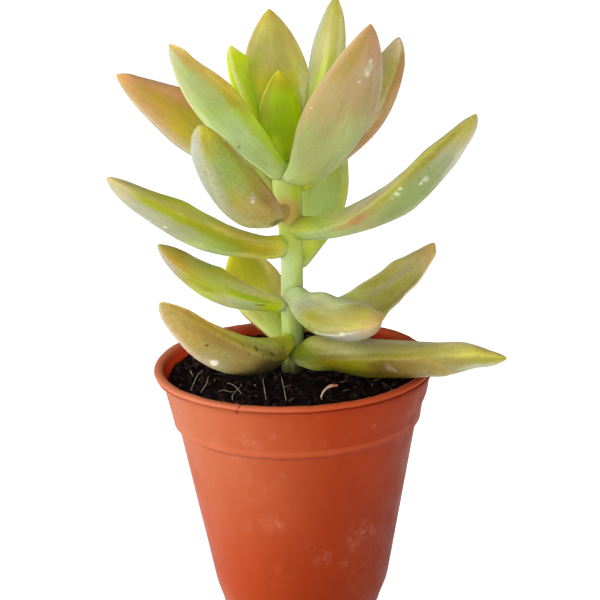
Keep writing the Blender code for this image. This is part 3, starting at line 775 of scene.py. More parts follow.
# ================================================================ node helpers
class Nodes:
    """A short way to write node trees."""

    def __init__(self, name):
        self.mat = bpy.data.materials.new(name)
        self.mat.use_nodes = True
        self.tree = self.mat.node_tree
        self.bsdf = self.tree.nodes["Principled BSDF"]
        self._coord = None

    def new(self, kind, **kw):
        n = self.tree.nodes.new(kind)
        for k, v in kw.items():
            setattr(n, k, v)
        return n

    def put(self, socket, value):
        if isinstance(value, bpy.types.NodeSocket):
            self.tree.links.new(value, socket)
        elif isinstance(value, (tuple, list)) and len(value) == 3 and socket.type == "RGBA":
            socket.default_value = (*value, 1.0)
        else:
            socket.default_value = value

    def math(self, op, a, b=None, c=None, clamp=False):
        n = self.new("ShaderNodeMath", operation=op, use_clamp=clamp)
        for k, v in enumerate((a, b, c)):
            if v is not None:
                self.put(n.inputs[k], v)
        return n.outputs[0]

    def span(self, value, a, b, to=(0.0, 1.0), soft=True):
        n = self.new("ShaderNodeMapRange", interpolation_type="SMOOTHSTEP" if soft else "LINEAR")
        n.clamp = True
        self.put(n.inputs["Value"], value)
        for k, v in zip(("From Min", "From Max", "To Min", "To Max"), (a, b, *to)):
            self.put(n.inputs[k], v)
        return n.outputs["Result"]

    def mix(self, t, a, b, blend="MIX"):
        n = self.new("ShaderNodeMix", data_type="RGBA", blend_type=blend)
        n.clamp_factor = True
        self.put(n.inputs["Factor"], t)
        self.put(n.inputs[6], a)
        self.put(n.inputs[7], b)
        return n.outputs[2]

    def coord(self):
        if self._coord is None:
            self._coord = self.new("ShaderNodeTexCoord").outputs["Object"]
        return self._coord

    def moved(self, where, scale=(1, 1, 1), by=(0, 0, 0)):
        n = self.new("ShaderNodeMapping")
        self.put(n.inputs["Vector"], where)
        n.inputs["Scale"].default_value = scale
        n.inputs["Location"].default_value = by
        return n.outputs[0]

    def noise(self, size, detail=3.0, rough=0.5, where=None, warp=0.0):
        """Noise whose features are about size millimetres; returns its value."""
        n = self.new("ShaderNodeTexNoise")
        self.put(n.inputs["Vector"], where or self.coord())
        n.inputs["Scale"].default_value = 1000.0 / size
        n.inputs["Detail"].default_value = detail
        n.inputs["Roughness"].default_value = rough
        n.inputs["Distortion"].default_value = warp
        return n.outputs["Fac"]

    def cell(self, size, where=None, feature="F1", out="Distance"):
        n = self.new("ShaderNodeTexVoronoi", feature=feature)
        self.put(n.inputs["Vector"], where or self.coord())
        n.inputs["Scale"].default_value = 1000.0 / size
        return n.outputs[out]

    def ramp(self, value, stops, ease=True):
        n = self.new("ShaderNodeValToRGB")
        r = n.color_ramp
        r.interpolation = "EASE" if ease else "LINEAR"
        while len(r.elements) < len(stops):
            r.elements.new(0.5)
        for e, (p, c) in zip(r.elements, stops):
            e.position = p
            e.color = (*c, 1.0)
        self.put(n.inputs["Fac"], value)
        return n.outputs["Color"]

    def bump(self, height, strength, distance, under=None):
        n = self.new("ShaderNodeBump")
        self.put(n.inputs["Height"], height)
        n.inputs["Strength"].default_value = strength
        n.inputs["Distance"].default_value = distance * MM
        if under is not None:
            self.put(n.inputs["Normal"], under)
        return n.outputs[0]

    def near(self, point, radius, soft=0.5):
        """1 within radius millimetres of a point, fading to 0."""
        n = self.new("ShaderNodeVectorMath", operation="DISTANCE")
        self.put(n.inputs[0], self.coord())
        n.inputs[1].default_value = [c * MM for c in point]
        return self.span(n.outputs["Value"], radius * MM * (1 + soft), radius * MM * (1 - soft))

    def set(self, **kw):
        for k, v in kw.items():
            self.put(self.bsdf.inputs[k.replace("_", " ")], v)
        return self


def srgb(r, g, b):
    def one(c):
        c /= 255.0
        return c / 12.92 if c <= 0.04045 else ((c + 0.055) / 1.055) ** 2.4
    return one(r), one(g), one(b)


# ================================================================ leaf colours
# the plant's own palette
TINTS = {
    "deep": srgb(105, 120, 15), "moss": srgb(132, 142, 52), "leaf": srgb(148, 165, 45), "lime": srgb(150, 178, 8),
    "sprig": srgb(168, 198, 12), "bright": srgb(188, 220, 15), "zest": srgb(208, 225, 45), "fresh": srgb(172, 188, 88),
    "mint": srgb(160, 180, 100), "sage": srgb(150, 158, 98), "fern": srgb(127, 143, 82), "ice": srgb(182, 202, 138),
    "frost": srgb(196, 224, 158), "pale": srgb(206, 212, 160), "celery": srgb(186, 196, 92),
    "olive": srgb(148, 144, 42), "drab": srgb(128, 122, 28), "mustard": srgb(160, 150, 12), "citron": srgb(144, 150, 5),
    "yellow": srgb(182, 178, 18), "sun": srgb(206, 200, 48), "lemon": srgb(212, 208, 92), "butter": srgb(240, 226, 125),
    "gold": srgb(180, 158, 22), "straw": srgb(190, 180, 82), "khaki": srgb(166, 158, 88), "wheat": srgb(174, 170, 112),
    "tan": srgb(158, 140, 90), "sand": srgb(180, 166, 108), "peach": srgb(196, 162, 100), "orange": srgb(184, 150, 52),
    "ochre": srgb(154, 128, 48), "honey": srgb(180, 144, 62), "pink": srgb(166, 140, 102), "rose": srgb(172, 130, 88),
    "coral": srgb(190, 138, 88), "rust": srgb(152, 108, 50), "brown": srgb(124, 94, 32), "umber": srgb(108, 86, 24),
    "bark": srgb(52, 42, 12), "taupe": srgb(132, 120, 60), "stone": srgb(150, 150, 124), "lilac": srgb(150, 138, 118),
    "dove": srgb(160, 156, 138), "cream": srgb(204, 188, 148), "scar": srgb(226, 222, 205), "paper": srgb(214, 206, 140),
    "acid": srgb(206, 226, 6), "milk": srgb(236, 240, 168), "salmon": srgb(212, 154, 100), "mauve": srgb(170, 146, 122),
    "apricot": srgb(226, 196, 98), "mist": srgb(168, 174, 148), "haze": srgb(158, 162, 156), "dusk": srgb(100, 94, 4),
    "soot": srgb(18, 14, 6), "silver": srgb(188, 184, 166), "neon": srgb(242, 248, 40), "plum": srgb(142, 126, 114),
    "blush": srgb(190, 158, 138), "basil": srgb(116, 144, 46),
}

# How each leaf is coloured.  upper and lower: colours along each face from base
# to tip.  strokes: colour, share of the length it spans, heading round the blade
# at its two ends (0 and 180 the margins, 90 the upper midrib, -90 the keel),
# half width, strength, how softly it ends.  spots: share, heading, radius,
# colour, strength.
LOOKS = {
    "leaf_01_low_right": dict(
        upper=((0.0, "leaf"), (0.12, "khaki"), (0.32, "wheat"), (0.52, "khaki"), (0.70, "khaki"), (0.88, "straw"), (1.0, "straw")),
        lower=((0.0, "ice"), (0.08, "leaf"), (0.20, "drab"), (0.36, "drab"), (0.50, "umber"), (0.66, "taupe"), (0.80, "taupe"), (1.0, "olive")),
        strokes=(("drab", (0.10, 0.70), (168, 166), 12, 0.90), ("gold", (0.08, 0.26), (-163, -165), 15, 0.9), ("mustard", (0.20, 0.42), (-158, -162), 18, 0.95),
                 ("umber", (0.42, 0.66), (-150, -145), 22, 0.80), ("bark", (0.50, 0.62), (-106, -110), 12, 0.75),
                 ("ochre", (0.68, 1.03), (-178, 170), 14, 0.85), ("cream", (0.26, 1.03), (98, 98), 18, 0.95), ("olive", (0.22, 0.48), (-108, -106), 15, 0.8),
                 ("mist", (0.80, 1.0), (-112, -112), 17, 0.75), ("lime", (-0.03, 0.10), (140, 140), 24, 0.70), ("khaki", (0.02, 0.26), (100, 100), 26, 0.75), ("leaf", (-0.03, 0.07), (105, 105), 40, 0.8),
                 ("celery", (-0.03, 0.09), (-140, -140), 34, 0.80)),
        spots=((0.51, -150, 0.9, "lilac", 0.7), (0.53, -140, 0.5, "dove", 0.55), (0.66, -128, 0.5, "lilac", 0.5),
               (0.44, -132, 0.32, "bark", 0.6), (0.57, -126, 0.28, "bark", 0.6), (0.60, -140, 0.34, "umber", 0.7), (0.48, -122, 0.3, "bark", 0.5)),
        skin=dict(el=(10, 5.2)), mottle=0.26, mottle_tint="brown", grit=0.38,
        bumps=((2.7, 0.10, 105, 0.11, 42), (1.0, 0.26, 105, 0.10, 40), (0.9, 0.08, -115, 0.07, 45), (0.45, 0.70, -112, 0.05, 35),
               (0.85, 0.80, 100, 0.10, 35), (-0.45, 0.86, -95, 0.06, 35),
               (-0.55, 0.735, -122, 0.012, 16), (0.35, 0.715, -125, 0.012, 14), (-0.35, 0.77, -125, 0.02, 20),
               (0.30, 0.66, 150, 0.03, 30), (-0.25, 0.80, 140, 0.03, 30), (0.25, 0.88, 140, 0.03, 30))),
    "leaf_02_low_back": dict(
        upper=((0.0, "fresh"), (0.16, "fresh"), (0.30, "celery"), (0.45, "lemon"), (0.58, "sun"), (0.74, "yellow"), (0.90, "sun"), (1.0, "straw")),
        lower=((0.0, "mint"), (0.2, "ochre"), (0.5, "olive"), (1.0, "khaki")),
        strokes=(("butter", (0.36, 0.90), (145, 143), 26, 1.0), ("yellow", (0.54, 0.96), (62, 68), 36, 0.85), ("khaki", (0.20, 0.42), (46, 46), 14, 0.6), ("olive", (-0.03, 0.10), (12, 15), 18, 0.6),
                 ("wheat", (0.08, 0.40), (16, 14), 14, 0.7), ("brown", (0.08, 0.22), (-15, -18), 11, 0.75),
                 ("acid", (0.16, 0.34), (106, 104), 14, 0.7), ("gold", (0.02, 0.12), (-15, -15), 9, 0.5), ("sage", (0.0, 0.12), (45, 45), 18, 0.5)),
        bumps=((0.5, 0.7, 165, 0.12, 30), (0.4, 0.7, 7, 0.08, 30))),
    "leaf_03_low_left": dict(
        upper=((0.0, "zest"), (0.12, "sun"), (0.25, "mustard"), (0.38, "khaki"), (0.55, "khaki"), (0.68, "orange"), (0.84, "orange"), (1.0, "peach")),
        # painted shadow: the lower face's dark band from about 0.2 to 0.5 of the length, with the bark and soot strokes
        # laid over it near the margin
        lower=((0.0, "leaf"), (0.20, "umber"), (0.32, "bark"), (0.46, "bark"), (0.56, "taupe"), (0.70, "taupe"), (0.84, "ochre"), (1.0, "tan")),
        strokes=(("bark", (0.29, 0.48), (-8, -36), 24, 0.95), ("dusk", (0.26, 0.52), (15, 12), 13, 1.0, 0.07, 0.03), ("soot", (0.28, 0.44), (-44, -52), 20, 0.97, 0.08, 0.04),
                 ("ochre", (0.84, 1.05), (-4, -24), 24, 0.8), ("olive", (0.50, 0.76), (16, 14), 12, 0.7), ("sun", (0.58, 0.72), (45, 42), 12, 0.75), ("yellow", (0.08, 0.40), (80, 76), 24, 0.95),
                 ("brown", (0.52, 0.84), (-16, -20), 14, 0.7), ("stone", (0.58, 0.70), (-75, -76), 12, 0.75),
                 ("mauve", (0.66, 1.0), (-100, -104), 19, 0.92), ("celery", (0.26, 0.62), (68, 56), 19, 0.90),
                 ("umber", (0.50, 0.60), (-50, -52), 20, 0.6), ("apricot", (0.70, 1.0), (46, 42), 15, 0.75), ("honey", (0.90, 1.04), (12, 10), 13, 0.7), ("zest", (-0.03, 0.10), (25, 25), 34, 0.8)),
        spots=((0.54, 20, 0.60, "soot", 1.0), (0.20, 46, 0.55, "soot", 1.0), (0.42, 18, 0.50, "soot", 1.0),
               (0.76, -47, 0.42, "bark", 0.9), (0.66, -70, 0.9, "scar", 0.75), (0.64, -77, 0.6, "scar", 0.7),
               (0.46, 30, 0.34, "soot", 0.9), (0.36, 40, 0.32, "soot", 0.9), (0.50, 5, 0.32, "bark", 0.9), (0.30, 30, 0.34, "soot", 0.9), (0.27, 20, 0.3, "soot", 0.9), (0.62, 12, 0.32, "bark", 0.8), (0.58, -12, 0.3, "bark", 0.8), (0.24, 34, 0.26, "soot", 0.9)),
        mottle=0.34, mottle_tint="brown", freckle=0.10, grit=0.62,
        bumps=((0.45, 0.9, 42, 0.08, 35), (-0.35, 0.82, -112, 0.1, 35))),
    "leaf_04_back_right": dict(
        upper=((0.0, "celery"), (0.34, "wheat"), (0.48, "khaki"), (0.60, "khaki"), (0.72, "khaki"), (0.84, "sand"), (1.0, "peach")),
        lower=((0.0, "celery"), (0.45, "yellow"), (0.6, "sand"), (1.0, "cream")),
        strokes=(("olive", (0.40, 0.74), (138, 138), 15, 0.70), ("taupe", (0.38, 0.76), (171, 170), 13, 0.70),
                 ("stone", (0.50, 0.82), (110, 112), 9, 0.50), ("olive", (0.48, 0.70), (76, 74), 12, 0.75),
                 ("wheat", (0.28, 0.72), (52, 50), 11, 0.60), ("celery", (0.28, 0.44), (88, 80), 26, 0.6), ("fresh", (0.30, 0.42), (90, 88), 24, 0.5), ("olive", (0.36, 0.54), (163, 160), 12, 0.6), ("pale", (0.30, 0.52), (46, 46), 10, 0.6),
                 ("peach", (0.86, 1.05), (140, 130), 50, 0.6)),
        skin=dict(el=(-12, 41.3), size=(35.5, 11.8, 6.2)), groove=(0.35, 0.25, 0.85), mottle=0.34, mottle_tint="drab", grit=0.44,
        bumps=((1, 0.42, -150, 0.06, 35), (-0.35, 0.66, -156, 0.06, 30), (-0.4, 0.42, 45, 0.08, 35),
               (0.45, 0.76, 45, 0.06, 35), (-0.4, 0.94, 55, 0.04, 40), (0.35, 0.94, -161, 0.04, 35))),
    "leaf_05_second_left": dict(
        upper=((0.0, "sun"), (0.15, "lemon"), (0.32, "lemon"), (0.46, "lemon"), (0.60, "celery"), (0.74, "straw"), (0.86, "orange"), (1.0, "khaki")),
        lower=((0.0, "zest"), (0.14, "zest"), (0.30, "frost"), (0.45, "pale"), (0.58, "celery"), (0.72, "olive"), (0.86, "lilac"), (1.0, "lilac")),
        # painted light: the milk stroke on the upper face near the base brightens a part that lies in shade under the
        # leaves above
        strokes=(("sprig", (0.08, 0.50), (16, 18), 15, 0.95, 0.08, 0.05), ("citron", (0.55, 0.74), (-6, -14), 16, 0.9), ("sprig", (0.58, 0.68), (14, 12), 10, 0.5),
                 ("sun", (0.38, 0.62), (90, 84), 17, 0.9), ("milk", (0.03, 0.37), (82, 80), 22, 0.9), ("butter", (-0.03, 0.34), (46, 48), 12, 0.5), ("milk", (0.14, 0.42), (-48, -46), 17, 0.9), ("acid", (0.02, 0.16), (-18, -40), 34, 0.92), ("brown", (0.165, 0.235), (-10, -15), 5, 0.80, 0.02),
                 ("mustard", (0.68, 0.80), (10, 8), 13, 0.65), ("pale", (0.26, 0.52), (44, 52), 12, 0.60),
                 ("straw", (0.72, 0.90), (76, 72), 18, 0.6), ("orange", (0.80, 0.96), (46, 38), 22, 0.60), 
                 ("tan", (0.86, 1.05), (5, 0), 20, 0.5), ("celery", (0.46, 0.66), (30, 22), 10, 0.5)),
        spots=((0.21, -12, 0.32, "umber", 0.8), (0.26, -10, 0.25, "brown", 0.7), (0.18, -16, 0.25, "brown", 0.7)),
        mottle_tint="olive", joint=(0.030, 0.0),
        bumps=((0.4, 0.62, -62, 0.24, 30), (0.35, 0.5, 110, 0.05, 30), (-0.33, 0.68, 118, 0.08, 30))),
    "leaf_06_short_front": dict(
        upper=((0.0, "pale"), (0.15, "pale"), (0.30, "mist"), (0.45, "wheat"), (0.60, "wheat"), (0.75, "khaki"), (0.88, "straw"), (1.0, "peach")),
        lower=((0.0, "pale"), (0.40, "sage"), (0.55, "moss"), (0.70, "stone"), (0.86, "dove"), (1.0, "pink")),
        strokes=(("olive", (0.30, 0.68), (140, 137), 16, 0.90), ("khaki", (0.60, 0.92), (136, 132), 14, 0.60),
                 ("moss", (0.34, 0.68), (168, 168), 12, 0.80), ("pale", (0.20, 0.66), (72, 74), 20, 1.0), ("pale", (0.34, 0.60), (44, 44), 13, 1.0), ("cream", (0.54, 0.92), (44, 44), 16, 0.95),
                 ("lilac", (0.70, 0.97), (172, 172), 11, 0.60), ("peach", (0.92, 1.05), (150, 140), 60, 0.7),
                 ("frost", (-0.03, 0.14), (110, 100), 50, 0.6), ("mist", (0.22, 0.38), (130, 125), 22, 0.5),
                 ("scar", (0.52, 0.80), (-170, -173), 4, 0.70), ("silver", (0.72, 0.94), (-174, -178), 5, 0.65), ("brown", (0.50, 0.72), (174, 176), 3, 0.5)),
        spots=((0.60, -174, 0.4, "scar", 0.5), (0.79, -173, 0.55, "scar", 0.7), (0.84, -170, 0.4, "silver", 0.6),
               (0.52, 172, 0.3, "brown", 0.7)),
        fine=0.07, wave=0.24, rim=0.16,
        bumps=((0.85, 0.27, 54, 0.1, 35), (0.4, 0.93, 16, 0.05, 35))),
    "leaf_07_mid_back": dict(
        upper=((0.0, "celery"), (0.15, "celery"), (0.34, "mint"), (0.50, "mint"), (0.65, "fresh"), (0.85, "celery"), (1.0, "sun")),
        lower=((0.0, "ice"), (0.15, "fresh"), (0.5, "mint"), (1.0, "celery")),
        strokes=(("celery", (0.28, 0.85), (166, 164), 18, 0.85), ("zest", (0.0, 0.18), (140, 145), 30, 0.5),
                 ("leaf", (0.28, 0.55), (60, 58), 18, 0.65), ("lemon", (0.40, 0.75), (176, 176), 8, 0.5), ("pale", (0.62, 0.84), (160, 155), 18, 0.6)),
        bumps=((0.55, 0.05, -152, 0.12, 35),)),
    "leaf_08_long_left": dict(
        upper=((0.0, "sun"), (0.15, "straw"), (0.34, "straw"), (0.52, "celery"), (0.70, "yellow"), (0.84, "khaki"), (0.95, "sand"), (1.0, "cream")),
        lower=((0.0, "lemon"), (0.15, "lemon"), (0.30, "ice"), (0.45, "ice"), (0.60, "stone"), (0.78, "stone"), (1.0, "dove")),
        strokes=(("citron", (0.20, 0.90), (-13, -15), 20, 1.0, 0.09, 0.04), ("mustard", (0.10, 0.32), (-18, -30), 22, 1.0, 0.09, 0.04), ("gold", (0.02, 0.20), (-16, -30), 24, 0.9),
                 ("lemon", (-0.02, 0.44), (46, 44), 20, 0.75), ("butter", (-0.02, 0.26), (-84, -84), 22, 0.75), ("khaki", (0.50, 0.80), (30, 30), 8, 0.6), ("cream", (0.80, 1.0), (76, 72), 18, 0.7),
                 ("leaf", (0.26, 0.50), (-44, -42), 14, 0.80), ("apricot", (0.20, 0.48), (20, 18), 11, 0.55),
                 ("khaki", (0.54, 0.84), (16, 18), 12, 0.65), ("sage", (0.50, 0.72), (-48, -46), 14, 0.6),
                 ("sand", (0.90, 1.05), (-20, -20), 50, 0.7), ("leaf", (0.62, 0.82), (62, 60), 20, 0.5),
                 ("frost", (0.24, 0.44), (-78, -80), 14, 0.5)),
        spots=((0.65, -70, 0.5, "scar", 0.7), (0.46, -67, 0.4, "lemon", 0.7), (0.72, -78, 0.3, "scar", 0.5)),
        bumps=((0.42, 0.42, -86, 0.2, 35), (0.45, 0.01, 83, 0.05, 40), (-0.48, 0.27, 69, 0.1, 35),
               (0.5, 0.62, 68, 0.09, 35))),
    "leaf_09_long_right": dict(
        upper=((0.0, "zest"), (0.12, "fresh"), (0.34, "wheat"), (0.50, "wheat"), (0.65, "khaki"), (0.80, "olive"), (1.0, "tan")),
        lower=((0.0, "ice"), (0.15, "ice"), (0.30, "wheat"), (0.45, "sage"), (0.62, "fern"), (0.80, "stone"), (0.92, "khaki"), (1.0, "khaki")),
        strokes=(("rose", (0.22, 0.44), (-158, -166), 13, 1.0), ("coral", (0.26, 0.34), (-164, -166), 7, 0.6),
                 ("olive", (0.42, 0.62), (-168, -172), 12, 0.8),
                 ("drab", (0.66, 0.96), (-172, -164), 17, 1.0), ("fern", (0.46, 0.78), (-124, -126), 21, 0.85),
                 ("silver", (0.72, 0.94), (-80, -84), 16, 0.8), ("pale", (0.08, 0.30), (-106, -106), 13, 0.6), ("pink", (0.36, 0.54), (152, 156), 12, 0.50), ("silver", (0.30, 0.72), (134, 132), 14, 0.85), ("mist", (0.74, 1.0), (136, 130), 17, 0.8),
                 ("celery", (0.02, 0.12), (150, 156), 22, 0.5), ("ice", (0.06, 0.24), (-125, -130), 20, 0.6),
                 ("stone", (0.24, 0.40), (-100, -98), 12, 0.6), ("celery", (0.05, 0.24), (172, -176), 18, 0.5),
                 ("olive", (0.88, 1.0), (-140, -140), 24, 0.5)),
        spots=((0.57, -155, 0.55, "scar", 0.6), (0.60, -158, 0.4, "scar", 0.6), (0.54, -153, 0.4, "silver", 0.6), (0.69, -132, 0.8, "silver", 0.8), (0.66, -128, 0.4, "scar", 0.6),
               (0.68, -138, 0.28, "bark", 0.6), (0.72, -136, 0.24, "bark", 0.5), (0.74, -144, 0.26, "bark", 0.4)),
        joint=(0.060, -0.010),
        bumps=((0.7, 0.48, -94, 0.15, 35), (-0.4, 0.84, -69, 0.06, 35), (-0.3, 0.48, 118, 0.09, 35),
               (0.33, 0.76, 138, 0.08, 35))),
    "leaf_10_stout_front": dict(
        upper=((0.0, "salmon"), (0.16, "coral"), (0.36, "coral"), (0.48, "rust"), (0.58, "rust"), (0.68, "olive"), (0.80, "khaki"), (1.0, "wheat")),
        lower=((0.0, "salmon"), (0.20, "tan"), (0.35, "khaki"), (0.50, "khaki"), (0.64, "moss"), (0.80, "fern"), (0.92, "moss"), (1.0, "mustard")),
        strokes=(("rust", (0.36, 0.62), (4, -18), 21, 0.95), ("brown", (0.45, 0.70), (-14, -22), 13, 0.80),
                 ("drab", (0.58, 0.94), (-14, -20), 15, 0.95), ("pale", (0.78, 1.03), (24, 18), 17, 0.95), ("khaki", (0.68, 0.84), (18, 18), 10, 0.6), ("fern", (0.66, 0.92), (-50, -50), 18, 0.75),
                 ("umber", (0.50, 0.60), (-26, -30), 10, 0.6), ("citron", (0.66, 0.86), (-34, -36), 9, 0.5), ("stone", (0.46, 1.02), (-96, -104), 18, 0.9), ("haze", (0.52, 1.02), (-128, -136), 22, 0.9),
                 ("pale", (0.18, 0.34), (-68, -76), 16, 0.7), ("wheat", (0.28, 0.50), (-74, -84), 18, 0.8), ("mustard", (0.90, 1.06), (-52, -52), 38, 0.95),
                 ("bark", (0.215, 0.285), (-12, -44), 13, 0.70, 0.03), ("fresh", (0.70, 1.0), (27, 27), 7, 0.6),
                 ("tan", (0.28, 0.44), (-8, -12), 12, 0.6), ("basil", (0.72, 0.86), (-54, -50), 14, 0.75), ("tan", (0.44, 0.58), (-54, -58), 18, 0.6),
                 ("ochre", (0.40, 0.56), (-38, -44), 16, 0.6), ("honey", (0.58, 0.70), (-62, -62), 12, 0.45), ("basil", (0.76, 0.90), (-31, -34), 8, 0.55)),
        spots=((0.60, -41, 0.7, "dove", 0.75), (0.58, -46, 0.4, "scar", 0.6), (0.62, -36, 0.35, "dove", 0.6),
               (0.37, -48, 0.3, "brown", 0.8)),
        mottle=0.36, mottle_tint="brown", freckle=0.14, grit=0.50, heel=3.0, joint=(0.150, -0.030),
        bumps=((0.32, 0.46, -100, 0.10, 35), (-0.30, 0.74, -139, 0.08, 30), (-0.55, 0.30, -45, 0.018, 30), (-0.18, 0.60, -41, 0.03, 12))),
    "leaf_11_far_left": dict(
        upper=((0.0, "lemon"), (0.20, "celery"), (0.42, "khaki"), (0.55, "gold"), (0.68, "orange"), (0.82, "honey"), (1.0, "peach")),
        lower=((0.0, "ice"), (0.42, "dove"), (0.6, "lilac"), (0.8, "lilac"), (1.0, "dove")),
        # painted light: the milk stroke on the upper face near the base brightens a part shaded by the broad left leaf
        # above
        strokes=(("gold", (0.40, 0.60), (52, 48), 24, 0.85), ("salmon", (0.60, 0.96), (108, 100), 19, 0.9),
                 ("rose", (0.60, 0.92), (34, 34), 15, 0.60), ("mauve", (0.48, 1.02), (8, 12), 14, 0.80),
                 ("orange", (0.60, 0.80), (74, 70), 12, 0.6), ("plum", (0.56, 0.78), (-14, -12), 14, 0.8), ("blush", (0.76, 1.03), (132, 124), 14, 0.8), ("salmon", (0.86, 1.05), (80, 80), 40, 0.7), ("milk", (0.06, 0.22), (105, 105), 20, 0.8)),
        mottle_tint="honey", mottle=0.22, grit=0.30,
        bumps=((0.42, 0.5, -18, 0.16, 28), (0.42, 0.72, 137, 0.06, 30), (0.42, 0.95, 115, 0.04, 40))),
    "leaf_12_right_behind": dict(
        upper=((0.0, "celery"), (0.3, "wheat"), (0.5, "cream"), (0.7, "sand"), (0.85, "sand"), (1.0, "cream")),
        lower=((0.0, "sun"), (0.28, "sand"), (0.42, "coral"), (0.58, "peach"), (0.75, "coral"), (0.90, "peach"), (1.0, "cream")),
        strokes=(("rust", (0.56, 0.90), (172, 170), 9, 0.75), ("rust", (0.76, 0.88), (-165, -165), 12, 0.6),
                 ("olive", (0.60, 0.88), (142, 138), 14, 0.6), ("coral", (0.34, 0.62), (-150, -156), 16, 0.8),
                 ("rust", (0.78, 0.94), (168, 174), 11, 0.75), ("tan", (0.46, 0.70), (-138, -138), 15, 0.75), ("cream", (0.88, 1.02), (78, 78), 16, 0.8)),
        mottle=0.3, mottle_tint="ochre", grit=0.36,
        bumps=((0.6, 0.5, -142, 0.34, 40), (0.25, 0.86, -158, 0.12, 35), (-0.3, 0.94, 63, 0.04, 30))),
    "leaf_13_broad_right": dict(
        upper=((0.0, "leaf"), (0.4, "khaki"), (0.7, "khaki"), (1.0, "peach")),
        lower=((0.0, "ice"), (0.15, "mint"), (0.28, "sage"), (0.46, "sage"), (0.62, "tan"), (0.80, "pink"), (1.0, "rose")),
        strokes=(("ice", (0.30, 0.60), (-62, -74), 18, 0.40), ("fresh", (0.0, 0.22), (-84, -100), 22, 0.70),
                 ("ice", (-0.03, 0.12), (-160, -165), 26, 0.80), ("ochre", (0.77, 0.96), (-137, -132), 20, 0.95),
                 ("pink", (0.64, 0.90), (-44, -46), 17, 0.65), ("mauve", (0.86, 1.02), (-46, -46), 16, 0.7), ("pink", (0.42, 0.98), (-170, -170), 12, 0.70), ("silver", (0.84, 1.0), (168, 166), 12, 0.7),
                 ("coral", (0.84, 1.05), (-30, -60), 34, 0.7), ("blush", (0.60, 0.94), (-10, -12), 14, 0.75),
                 ("cream", (0.70, 1.0), (-20, -22), 6, 0.45), ("tan", (0.60, 0.80), (-126, -128), 18, 0.5),
                 ("sand", (0.52, 0.62), (-50, -50), 12, 0.4)),
        spots=((0.81, -87, 0.9, "silver", 0.65), (0.83, -74, 0.9, "silver", 0.65), (0.79, -80, 0.6, "scar", 0.6), (0.85, -80, 0.5, "scar", 0.5),
               (0.80, -108, 0.3, "dove", 0.6), (0.76, -95, 0.3, "scar", 0.5), (0.60, -160, 0.3, "cream", 0.6),
               (0.46, -82, 0.3, "moss", 0.5), (0.52, -72, 0.26, "moss", 0.4)),
        bloom=0.04, mottle_tint="tan", mottle=0.20, grit=0.24),
    "leaf_14_broad_left": dict(
        upper=((0.0, "sprig"), (0.3, "yellow"), (0.5, "sun"), (0.65, "sun"), (0.80, "peach"), (1.0, "peach")),
        lower=((0.0, "ice"), (0.14, "frost"), (0.30, "frost"), (0.46, "ice"), (0.60, "mint"), (0.75, "sage"), (0.88, "sage"), (1.0, "dove")),
        strokes=(("sprig", (0.0, 0.56), (-12, -15), 21, 0.95), ("bright", (0.10, 0.54), (14, 12), 12, 0.85), ("mustard", (0.50, 0.78), (-12, -16), 15, 0.90), ("frost", (0.04, 0.42), (-84, -96), 28, 0.95),
                 ("ochre", (0.78, 1.05), (-12, -26), 24, 0.95), ("rust", (0.84, 1.0), (-10, -16), 9, 0.5),
                 ("sun", (0.50, 0.70), (18, 18), 12, 0.9), ("zest", (0.18, 0.32), (16, 14), 9, 0.7), ("apricot", (0.68, 1.03), (19, 18), 12, 0.95), ("orange", (0.60, 0.84), (2, 2), 7, 0.7), ("fresh", (0.03, 0.3), (-48, -48), 18, 0.5),
                 ("fern", (0.62, 0.90), (-48, -54), 18, 0.45), ("paper", (0.55, 1.0), (-124, -118), 6, 0.7)),
        spots=((0.34, -79, 0.36, "drab", 0.8), (0.35, -74, 0.22, "drab", 0.6)),
        bloom=0.08, mottle=0.10, mottle_tint="fresh",
        bumps=((0.72, 0.66, 20, 0.16, 30), (0.55, 0.94, 24, 0.05, 40), (-0.33, 0.8, -115, 0.12, 30))),
    "leaf_15_crown_back": dict(
        upper=((0.0, "sprig"), (0.45, "leaf"), (0.56, "yellow"), (0.66, "khaki"), (0.78, "khaki"), (0.90, "straw"), (1.0, "orange")),
        lower=((0.0, "mint"), (0.5, "olive"), (1.0, "gold")),
        strokes=(("lemon", (0.40, 0.92), (134, 130), 18, 0.70), ("milk", (0.40, 0.62), (146, 150), 22, 0.75), ("butter", (0.58, 0.84), (162, 162), 15, 0.6), ("citron", (0.36, 0.74), (32, 36), 24, 0.85),
                 ("tan", (0.70, 0.97), (14, 16), 14, 0.65), ("peach", (0.74, 0.96), (134, 130), 17, 0.55),
                 ("mustard", (0.50, 0.64), (72, 74), 14, 0.5), ("straw", (0.66, 0.86), (92, 92), 20, 0.5), ("sun", (0.48, 0.62), (106, 104), 13, 0.7)),
        mottle=0.12, mottle_tint="olive",
        bumps=((0.36, 0.8, 7, 0.2, 30), (0.36, 0.75, 168, 0.2, 30))),
    "leaf_16_crown_right": dict(
        upper=((0.0, "celery"), (0.45, "celery"), (0.58, "wheat"), (0.70, "wheat"), (0.85, "khaki"), (1.0, "olive")),
        lower=((0.0, "mint"), (0.5, "ice"), (1.0, "lemon")),
        strokes=(("citron", (0.54, 0.72), (134, 134), 15, 1.0), ("olive", (0.66, 1.02), (132, 128), 15, 0.75),
                 ("zest", (0.50, 0.66), (112, 112), 9, 0.5),
                 ("mist", (0.46, 1.0), (46, 48), 20, 0.9), ("pale", (0.40, 0.50), (70, 70), 14, 0.6), ("wheat", (0.70, 1.0), (168, 166), 12, 0.6),
                 ("leaf", (0.50, 0.62), (104, 104), 12, 0.5)),
        mottle=0.06, bloom=0.04, fibre=0.3,
        bumps=((0.34, 0.65, 46, 0.22, 30),)),
    "leaf_17_young_left": dict(
        upper=((0.0, "sprig"), (0.45, "bright"), (0.65, "bright"), (0.80, "zest"), (0.92, "acid"), (1.0, "butter")),
